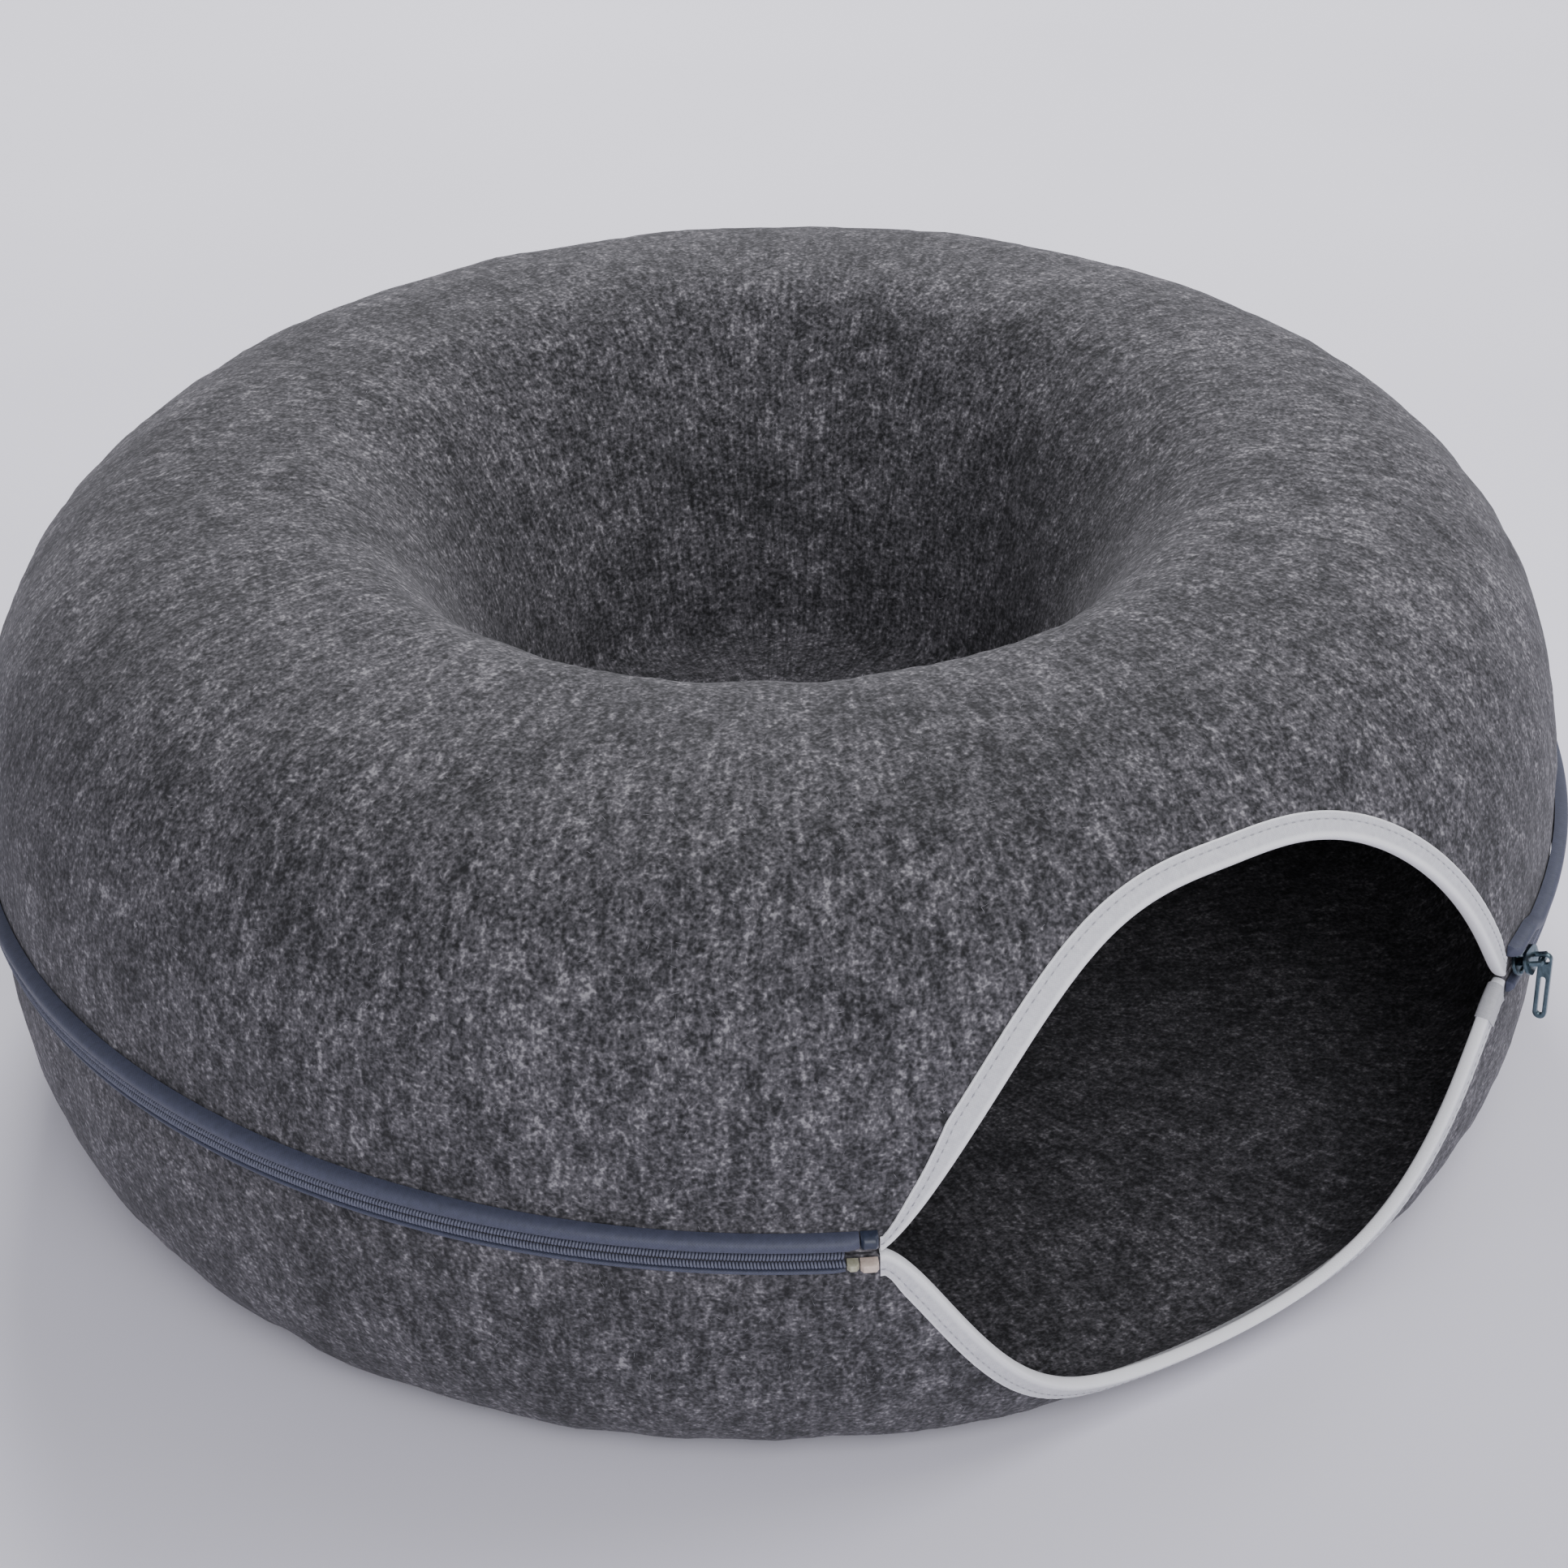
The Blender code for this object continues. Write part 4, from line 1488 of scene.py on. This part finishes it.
    def build(self, finishes: ZipFinishes) -> None:
        """Build every piece of the zip but the slider and its pull.

        Args:
            finishes: The materials of its pieces.
        """
        form = self.form
        turn = form.turn_of(self.gap)
        upper = self.tape(Side.UPPER, self.right, self.patch_start - turn, finishes.tape)
        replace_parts(upper, "upper_tape")
        start = self.right + form.turn_of(self.slider_start)
        lower = self.tape(Side.LOWER, start, self.pin_start - turn, finishes.tape)
        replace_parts(lower, "lower_tape")
        # A near-black strip under the coil turns, painted shade for the gaps between them
        half = self.chain_width / 2
        angle = np.linspace(self.slider_end + turn, self.pin_start - turn, self.steps)
        bulge = self.coil_shade_bulge
        chain = self.strip("zip_chain_painted_shade", angle, -half, half, bulge, finishes.coil_shade, "coil", power=6)
        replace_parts(chain, "zip_chain")
        self.coil(finishes.coil)
        low = half + self.gap
        high = low + self.tape_width
        bulge = self.tape_bulge * self.patch_bulge
        angle = np.linspace(self.patch_start, self.left, self.short_steps)
        patch = self.strip("stiff_tape_end", angle, low, high, bulge, finishes.tape_end, "tape_end")
        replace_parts(patch, "tape_end_patch")
        low, high = self.box_bottom, self.box_top
        angle = np.linspace(self.box_start, self.left, self.short_steps)
        bulge = self.box_bulge
        box = self.strip("retainer_block", angle, low, high, bulge, finishes.box, "retainer", power=6)
        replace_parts(box, "retainer_box")
        angle = np.linspace(self.pin_start, self.box_start - turn, self.pin_steps)
        low = self.pin_bottom
        pin = self.strip("pin_block", angle, low, high, self.chain_bulge, finishes.pin, "pin", power=5)
        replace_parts(pin, "insertion_pin")


# ---------------------------------------------------------------- slider


def slab(outline: Outline, low: float, high: float) -> Solid:
    """A flat plate with this outline between two depths.

    Args:
        outline: The corners in their order.
        low: The lower depth.
        high: The upper one.

    Returns:
        Its points and faces.
    """
    count = len(outline)
    points = [(x, y, low) for x, y in outline] + [(x, y, high) for x, y in outline]
    faces = [tuple(range(count))[::-1], tuple(range(count, 2 * count))]
    faces += [(k, (k + 1) % count, count + (k + 1) % count, count + k) for k in range(count)]
    return np.array(points), faces


def rounded(outline: Outline, radius: float, steps: int = 4) -> Outline:
    """An outline with its corners rounded, each by no more than 0.45 of the side next to it.

    Args:
        outline: The corners in their order.
        radius: How far from a corner its curve starts.
        steps: How many steps a curve has.

    Returns:
        The new outline.
    """
    made = []
    count = len(outline)
    for k, corner in enumerate(outline):
        here = Vector(corner)
        before, after = Vector(outline[k - 1]) - here, Vector(outline[(k + 1) % count]) - here
        cut = min(radius, before.length * 0.45, after.length * 0.45)
        start, end = here + before.normalized() * cut, here + after.normalized() * cut
        for step in range(steps + 1):
            t = step / steps
            point = start * (1 - t) ** 2 + here * 2 * t * (1 - t) + end * t * t
            made.append((point.x, point.y))
    return made


def stadium(width: float, length: float, middle: float = 0.0, steps: int = 10) -> Outline:
    """The outline of a slot with round ends, long in y.

    Args:
        width: Its width.
        length: Its length, ends included.
        middle: Height of its middle.
        steps: How many steps each end has.

    Returns:
        The outline.
    """
    radius = width / 2
    made = []
    for end, turn in ((1, 0.0), (-1, math.pi)):
        centre = middle + end * (length / 2 - radius)
        for k in range(steps + 1):
            angle = turn + math.pi * k / steps
            made.append((radius * math.cos(angle), centre + radius * math.sin(angle)))
    return made


@dataclass
class Slider:
    """The die-cast slider at the right corner and the slotted pull that hangs from its bridge."""

    form: CaveForm
    zip: Zip
    stand: float = 0.0022
    plate: float = 0.0012
    # The plates' outline, as shares of the slider's height and half height, and its rounding
    corner_cut: float = 0.3
    shoulder: float = 0.85
    nose: float = 0.5
    plate_round: float = 0.0012
    # The post between the plates: its three places as shares of the half length, its half width
    post_places: tuple[float, float, float] = (-0.75, -0.1, 0.35)
    post_half: float = 0.0016
    post_round: float = 0.0008
    # The turned-in sides: place across, start and end as shares, thickness and depth in metres
    side_place: float = 0.82
    side_start: float = -0.5
    side_end: float = 0.62
    side_thickness: float = 0.0011
    side_depth: float = 0.0019
    span: float = 0.0070
    bar: float = 0.0014
    bar_shoulder: float = 0.6
    reach: float = 0.0050
    pull_length: float = 0.0280
    pull_width: float = 0.0050
    pull_thickness: float = 0.0018
    eye: float = 0.0034
    slot: float = 0.0165
    slot_width: float = 0.0020
    rail: float = 0.0017
    body_bevel: float = 0.00028
    pull_bevel: float = 0.0003
    bevel_steps: int = 3
    bevel_from: float = math.radians(35)
    sharp_from: float = math.radians(40)

    def frame(self) -> Matrix:
        """Matrix at the middle of the slider's back: X along the zip, Z square out of its face.

        Returns:
            The matrix.
        """
        z = self.zip
        angle = z.slider_end - self.form.turn_of(z.slider_length / 2)
        out = Vector((math.cos(angle), math.sin(angle), 0))
        along = Vector((-math.sin(angle), math.cos(angle), 0))
        made = Matrix((along, Vector((0, 0, 1)), out)).transposed().to_4x4()
        base = Vector(self.form.face(Side.UPPER, np.array(angle), np.array(z.slider_raise)))
        made.translation = base + out * self.stand
        return made @ Matrix.Rotation(-z.slider_tilt, 4, "X")

    def solid(
        self, name: str, parts: list[Solid], cuts: list[Solid], where: Matrix, bevel: float, finish: Material
    ) -> Thing:
        """Join parts, cut holes and round the edges.

        Args:
            name: Name of the piece.
            parts: What is joined.
            cuts: What is cut away.
            where: Matrix that puts it in place.
            bevel: Width of its rounded edges.
            finish: Its material.

        Returns:
            The piece.
        """
        piece = new_piece(name, parts[0], finish, smooth=False)
        helpers = []
        for operation, shapes in (("UNION", parts[1:]), ("DIFFERENCE", cuts)):
            for points, faces in shapes:
                mesh = bpy.data.meshes.new("helper")
                mesh.from_pydata(points.tolist(), [], faces)
                helper = new_object("helper", mesh)
                helpers.append(helper)
                change = piece.modifiers.new("change", "BOOLEAN")
                change.operation = operation
                change.solver = "EXACT"
                change.object = helper
        rounding = piece.modifiers.new("rounding", "BEVEL")
        rounding.width = bevel
        rounding.segments = self.bevel_steps
        rounding.limit_method = "ANGLE"
        rounding.angle_limit = self.bevel_from
        rounding.use_clamp_overlap = True
        bpy.context.view_layer.update()
        made = bpy.data.meshes.new_from_object(piece.evaluated_get(bpy.context.evaluated_depsgraph_get()))
        piece.modifiers.clear()
        piece.data = made
        made.transform(where)
        made.shade_smooth()
        made.set_sharp_from_angle(angle=self.sharp_from)
        for helper in helpers:
            bpy.data.objects.remove(helper)
        return piece

    def bridge(self) -> Solid:
        """The arch that the pull hangs from, drawn flat and stood up on the front plate.

        Returns:
            Its points and faces.
        """
        x, leg, rise = self.span / 2, self.bar, self.reach
        outer = [(x + leg / 2, 0.0), (x + leg / 2, rise), (x - leg * self.bar_shoulder, rise + leg / 2)]
        inner = [(x - leg / 2, 0.0), (x - leg / 2, rise - leg / 2)]
        other = [(-across, high) for across, high in outer]
        inside = [(-across, high) for across, high in inner]
        points, faces = slab(other + outer[::-1] + inner + inside[::-1], -leg / 2, leg / 2)
        high = points[:, 1] + self.zip.slider_depth - self.plate / 2
        return np.stack([points[:, 0], -points[:, 2], high], 1), faces

    def body(self, where: Matrix, finish: Material) -> Thing:
        """The slider: two plates with turned-in sides, a post between them and the bridge.

        Args:
            where: Matrix that puts it in place.
            finish: Its material.

        Returns:
            The piece.
        """
        z = self.zip
        a, b, depth = z.slider_length / 2, z.slider_height / 2, z.slider_depth
        cut = z.slider_height * self.corner_cut
        upper = [(a, b * self.nose), (a - cut, b * self.shoulder), (-a + cut, b), (-a, b - cut)]
        shield = rounded([(x, -y) for x, y in upper[::-1]] + upper, self.plate_round)
        back, middle, front = (a * place for place in self.post_places)
        diamond = [(back, 0), (middle, -self.post_half), (front, 0), (middle, self.post_half)]
        inset = self.plate * 0.5
        parts = [
            slab(shield, depth - self.plate, depth),
            slab(shield, 0.0, self.plate),
            slab(rounded(diamond, self.post_round), inset, depth - inset),
        ]
        start, end = a * self.side_start, a * self.side_end
        for side in (1, -1):
            outer = side * (b * self.side_place)
            inner = side * (b * self.side_place - self.side_thickness)
            strip = [(start, inner), (end, inner), (end, outer), (start, outer)]
            for low, high in ((inset, self.side_depth), (depth - self.side_depth, depth - inset)):
                parts.append(slab(strip[::-side], low, high))
        parts.append(self.bridge())
        return self.solid("slider_body", parts, [], where, self.body_bevel, finish)

    def pull(self, slider_at: Matrix, finish: Material) -> Thing:
        """The pull: a flat strap with an eye and a long slot, hanging square to the zip.

        Args:
            slider_at: Matrix of the slider.
            finish: Its material.

        Returns:
            The piece.
        """
        along = slider_at.to_3x3().col[0]
        up = Vector((0, 0, 1))
        where = Matrix((up.cross(-along), up, -along)).transposed().to_4x4()
        tilt = self.zip.slider_tilt
        # The eye's top rests on the two upper corners of the tilted bar
        corner = self.bar / 2 * (math.cos(tilt) + math.sin(tilt))
        beside = self.bar / 2 * (math.cos(tilt) - math.sin(tilt))
        hang = math.sqrt((self.eye / 2 - self.zip.gap) ** 2 - beside**2) - corner
        where.translation = slider_at @ Vector((0, 0, self.zip.slider_depth + self.reach)) - up * hang
        half = self.pull_thickness / 2
        below = (self.pull_width - self.pull_length) / 2
        strap = stadium(self.pull_width, self.pull_length, below)
        lowest = self.pull_width / 2 - self.pull_length + self.rail + self.slot / 2
        # The eye is a hair longer than wide, because a stadium's ends may not meet in a point
        holes = (stadium(self.eye, self.eye * 1.001), stadium(self.slot_width, self.slot, lowest))
        cuts = [slab(hole, -half * 2, half * 2) for hole in holes]
        return self.solid("pull_strap", [slab(strap, -half, half)], cuts, where, self.pull_bevel, finish)

    def build(self, finish: Material) -> None:
        """Build the slider and its pull.

        Args:
            finish: Their material.
        """
        where = self.frame()
        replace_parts(self.body(where, finish), "zip_slider")
        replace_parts(self.pull(where, finish), "zip_pull")


# ---------------------------------------------------------------- fuzz


@dataclass
class Fuzz:
    """Fibre ends that stand off the felt, spread evenly but kept clear of zip and ribbon."""

    form: CaveForm
    upper_count: int = 15000
    lower_count: int = 6000
    longest: float = 0.0030
    width: float = 0.00010
    off_floor: float = 0.0003
    lowest_run: float = 0.006
    off_zip: float = 0.011
    off_ribbon: float = 0.013
    entrance_share: float = 1.06
    # Ranges: length as a share of the longest, rise off the felt, width as a share of the usual one
    lengths: tuple[float, float] = (0.35, 1.0)
    rises: tuple[float, float] = (0.08, 0.45)
    widths: tuple[float, float] = (0.7, 1.2)
    curl: float = 0.35
    droop: float = 0.10
    # Places along a hair and its width there
    rows: tuple[tuple[float, float], ...] = ((0.0, 1.0), (0.5, 0.9), (1.0, 0.3))

    def hairs(self, side: Side, count: int, draw: np.random.Generator) -> Solid:
        """Curved hairs spread evenly over one shell's outer face.

        Args:
            side: Which shell.
            count: How many hairs are drawn, before those in the wrong place are left out.
            draw: Source of random numbers.

        Returns:
            Their points and faces.
        """
        form = self.form
        end = float(form.ends[side][:, -2 if side is Side.UPPER else 0].mean())
        angle = draw.uniform(-math.pi, math.pi, count)
        run = draw.uniform(self.lowest_run, end, count)
        near = np.where(angle > math.pi / 2, angle - TURN, angle)
        by_entrance = np.abs(form.share_across(near)) < self.entrance_share
        on_ribbon = by_entrance & (run < form.lip_run(side, near) + self.off_ribbon)
        kept = ~on_ribbon & (run > self.off_zip)
        angle, run = angle[kept], run[kept]
        # Fewer towards the middle, where the same range of angles covers less felt
        radius = np.linalg.norm(form.face(side, angle, run)[:, :2], axis=1)
        even = draw.uniform(size=len(angle)) < radius / form.outer_radius
        angle, run = angle[even], run[even]
        root = form.face(side, angle, run)
        normal = form.normal(side, angle, run)
        lean = draw.normal(size=root.shape)
        lean = unit(lean - normal * (lean * normal).sum(1, keepdims=True))
        bend = np.cross(normal, lean)
        length = self.longest * draw.uniform(*self.lengths, len(angle))[:, None]
        rise = draw.uniform(*self.rises, len(angle))[:, None]
        curl = draw.normal(0, self.curl, len(angle))[:, None]
        wide = self.width * draw.uniform(*self.widths, len(angle))[:, None]
        rows = []
        for share, thick in self.rows:
            off = rise * share - self.droop * share**2
            middle = root + length * (lean * share + normal * off + bend * curl * share**2)
            rows += [middle - bend * wide * thick / 2, middle + bend * wide * thick / 2]
        points = np.stack(rows, 1).reshape(-1, 3)
        points[:, 2] = np.maximum(points[:, 2], self.off_floor)
        faces = []
        for start in range(0, len(points), len(rows)):
            faces += [(start + k, start + k + 1, start + k + 3, start + k + 2) for k in (0, 2)]
        return points, faces

    def build(self, finish: Material) -> None:
        """Build the hairs of both shells.

        Args:
            finish: Their material.
        """
        draw = np.random.default_rng(SEED + 2)
        for side, count in ((Side.UPPER, self.upper_count), (Side.LOWER, self.lower_count)):
            new_piece(f"{side.word}_fibre_ends", self.hairs(side, count, draw), finish)


# ---------------------------------------------------------------- studio


@dataclass(frozen=True)
class Lamp:
    """A soft square lamp."""

    name: str
    at: Place
    size: float
    watts: float
    colour: str = "FFFFFF"

    def hang(self, aim: Place) -> None:
        """Put it in the scene, facing a point.

        Args:
            aim: The point.
        """
        data = bpy.data.lights.new(self.name, "AREA")
        data.shape = "SQUARE"
        data.size = self.size
        data.energy = self.watts
        data.color = linear(self.colour)[:3]
        thing = new_object(self.name, data)
        thing.location = self.at
        thing.rotation_euler = (Vector(aim) - Vector(self.at)).to_track_quat("-Z", "Y").to_euler()


@dataclass
class Studio:
    """A plain pale floor, soft light and the photograph's camera."""

    camera_at: Place = (-0.6037, -0.9731, 0.8096)
    tilt: float = math.radians(90 - 32.5366)
    pan: float = math.radians(-34.8)
    focal_px: float = 4212.753
    image_px: float = 1932.0
    sensor_mm: float = 36.0
    shift_x: float = -0.0933
    shift_y: float = 0.02465
    sees_to: float = 50.0
    floor_half: float = 6.0
    sky: str = "F3F3F8"
    sky_strength: float = 0.43
    lit_point: Place = (0.0, 0.0, 0.1)
    lamps: tuple[Lamp, ...] = (
        Lamp("key", at=(0.9, 1.9, 1.9), size=0.9, watts=57),
        Lamp("right", at=(1.9, -0.3, 2.4), size=2.2, watts=47),
        Lamp("front", at=(-0.9, -2.2, 2.2), size=2.0, watts=43, colour="FBFBFF"),
        Lamp("low_front", at=(-0.3, -2.4, 1.0), size=1.5, watts=13),
        Lamp("front_left", at=(-1.8, -2.0, 1.5), size=1.6, watts=9),
    )

    def camera(self) -> None:
        """Set up the camera at the photograph's viewing angle."""
        data = bpy.data.cameras.new("camera")
        data.sensor_width = self.sensor_mm
        data.lens = self.focal_px / self.image_px * data.sensor_width
        data.shift_x = self.shift_x
        data.shift_y = self.shift_y
        data.clip_end = self.sees_to
        thing = new_object("camera", data)
        thing.location = self.camera_at
        thing.rotation_euler = (self.tilt, 0, self.pan)
        bpy.context.scene.camera = thing

    def floor(self) -> None:
        """Lay the floor."""
        half = self.floor_half
        mesh = bpy.data.meshes.new("floor")
        corners = [(-half, -half, 0), (half, -half, 0), (half, half, 0), (-half, half, 0)]
        mesh.from_pydata(corners, [], [(0, 1, 2, 3)])
        mesh.materials.append(Painted().build())
        new_object("floor", mesh)

    def light(self) -> None:
        """Hang the lamps and set the sky."""
        world = bpy.data.worlds.new("studio_air")
        world.use_nodes = True
        feed(world.node_tree.nodes["Background"], {"Color": linear(self.sky), "Strength": self.sky_strength})
        bpy.context.scene.world = world
        for lamp in self.lamps:
            lamp.hang(self.lit_point)

    def build(self) -> None:
        """Set up camera, floor and light."""
        self.camera()
        self.floor()
        self.light()


# ---------------------------------------------------------------- all


def main() -> None:
    """Build every piece in order."""
    logging.basicConfig(level=logging.INFO, format="%(name)s: %(message)s")
    form = CaveForm()
    the_zip = Zip(form)
    ribbon = Woven(
        "ribbon_woven_polyester",
        light="D6D6DB",
        dark="B8B8C0",
        rib_mm=0.9,
        contrast=0.5,
        # The fold's colour is a painted highlight, the groove's a painted shade
        fold="EAEAEE",
        groove="A2A2A9",
    )
    tail = Woven("ribbon_tail_greyer_polyester", light="B9B9BE", dark="9C9CA2", rib_mm=0.9)
    # The thread is drawn greyer than the ribbon, painted shade for the tiny shadows of its needle holes
    thread = Woven("thread_spun_polyester_greyed_shade", light="A8A8B0", dark="8C8C95", rib_mm=0.5)
    tape = Woven(
        "tape_woven_polyester_slate", light="4A4E64", dark="323645", rib_mm=1.0, roughness=0.56, sheen=0.03
    )
    # The strip under the coil is painted shade for the gaps between its turns
    coil_shade = Woven("painted_shade_under_coil", light="22232C", dark="17181F", rib_mm=1.0, roughness=0.8)
    film = Moulded("tape_end_welded_film_navy", colour="30374A", shade="262C3B", roughness=0.35)
    Studio().build()
    FeltShells(form).build(Felt().build())
    Binding(form).build(ribbon.build(), thread.build(), tail.build())
    finishes = ZipFinishes(
        tape=tape.build(),
        coil=Moulded("coil_moulded_nylon_slate", colour="646779", shade="4B4E5E").build(),
        coil_shade=coil_shade.build(),
        tape_end=film.build(),
        box=Moulded("box_moulded_acetal_beige", colour="CDBDB2", shade="BBA99E").build(),
        pin=Moulded("pin_moulded_acetal_olive", colour="ABA998", shade="97957F").build(),
    )
    the_zip.build(finishes)
    Slider(form, the_zip).build(Plated().build())
    Fuzz(form).build(Fibre().build())


if __name__ == "__main__":
    main()
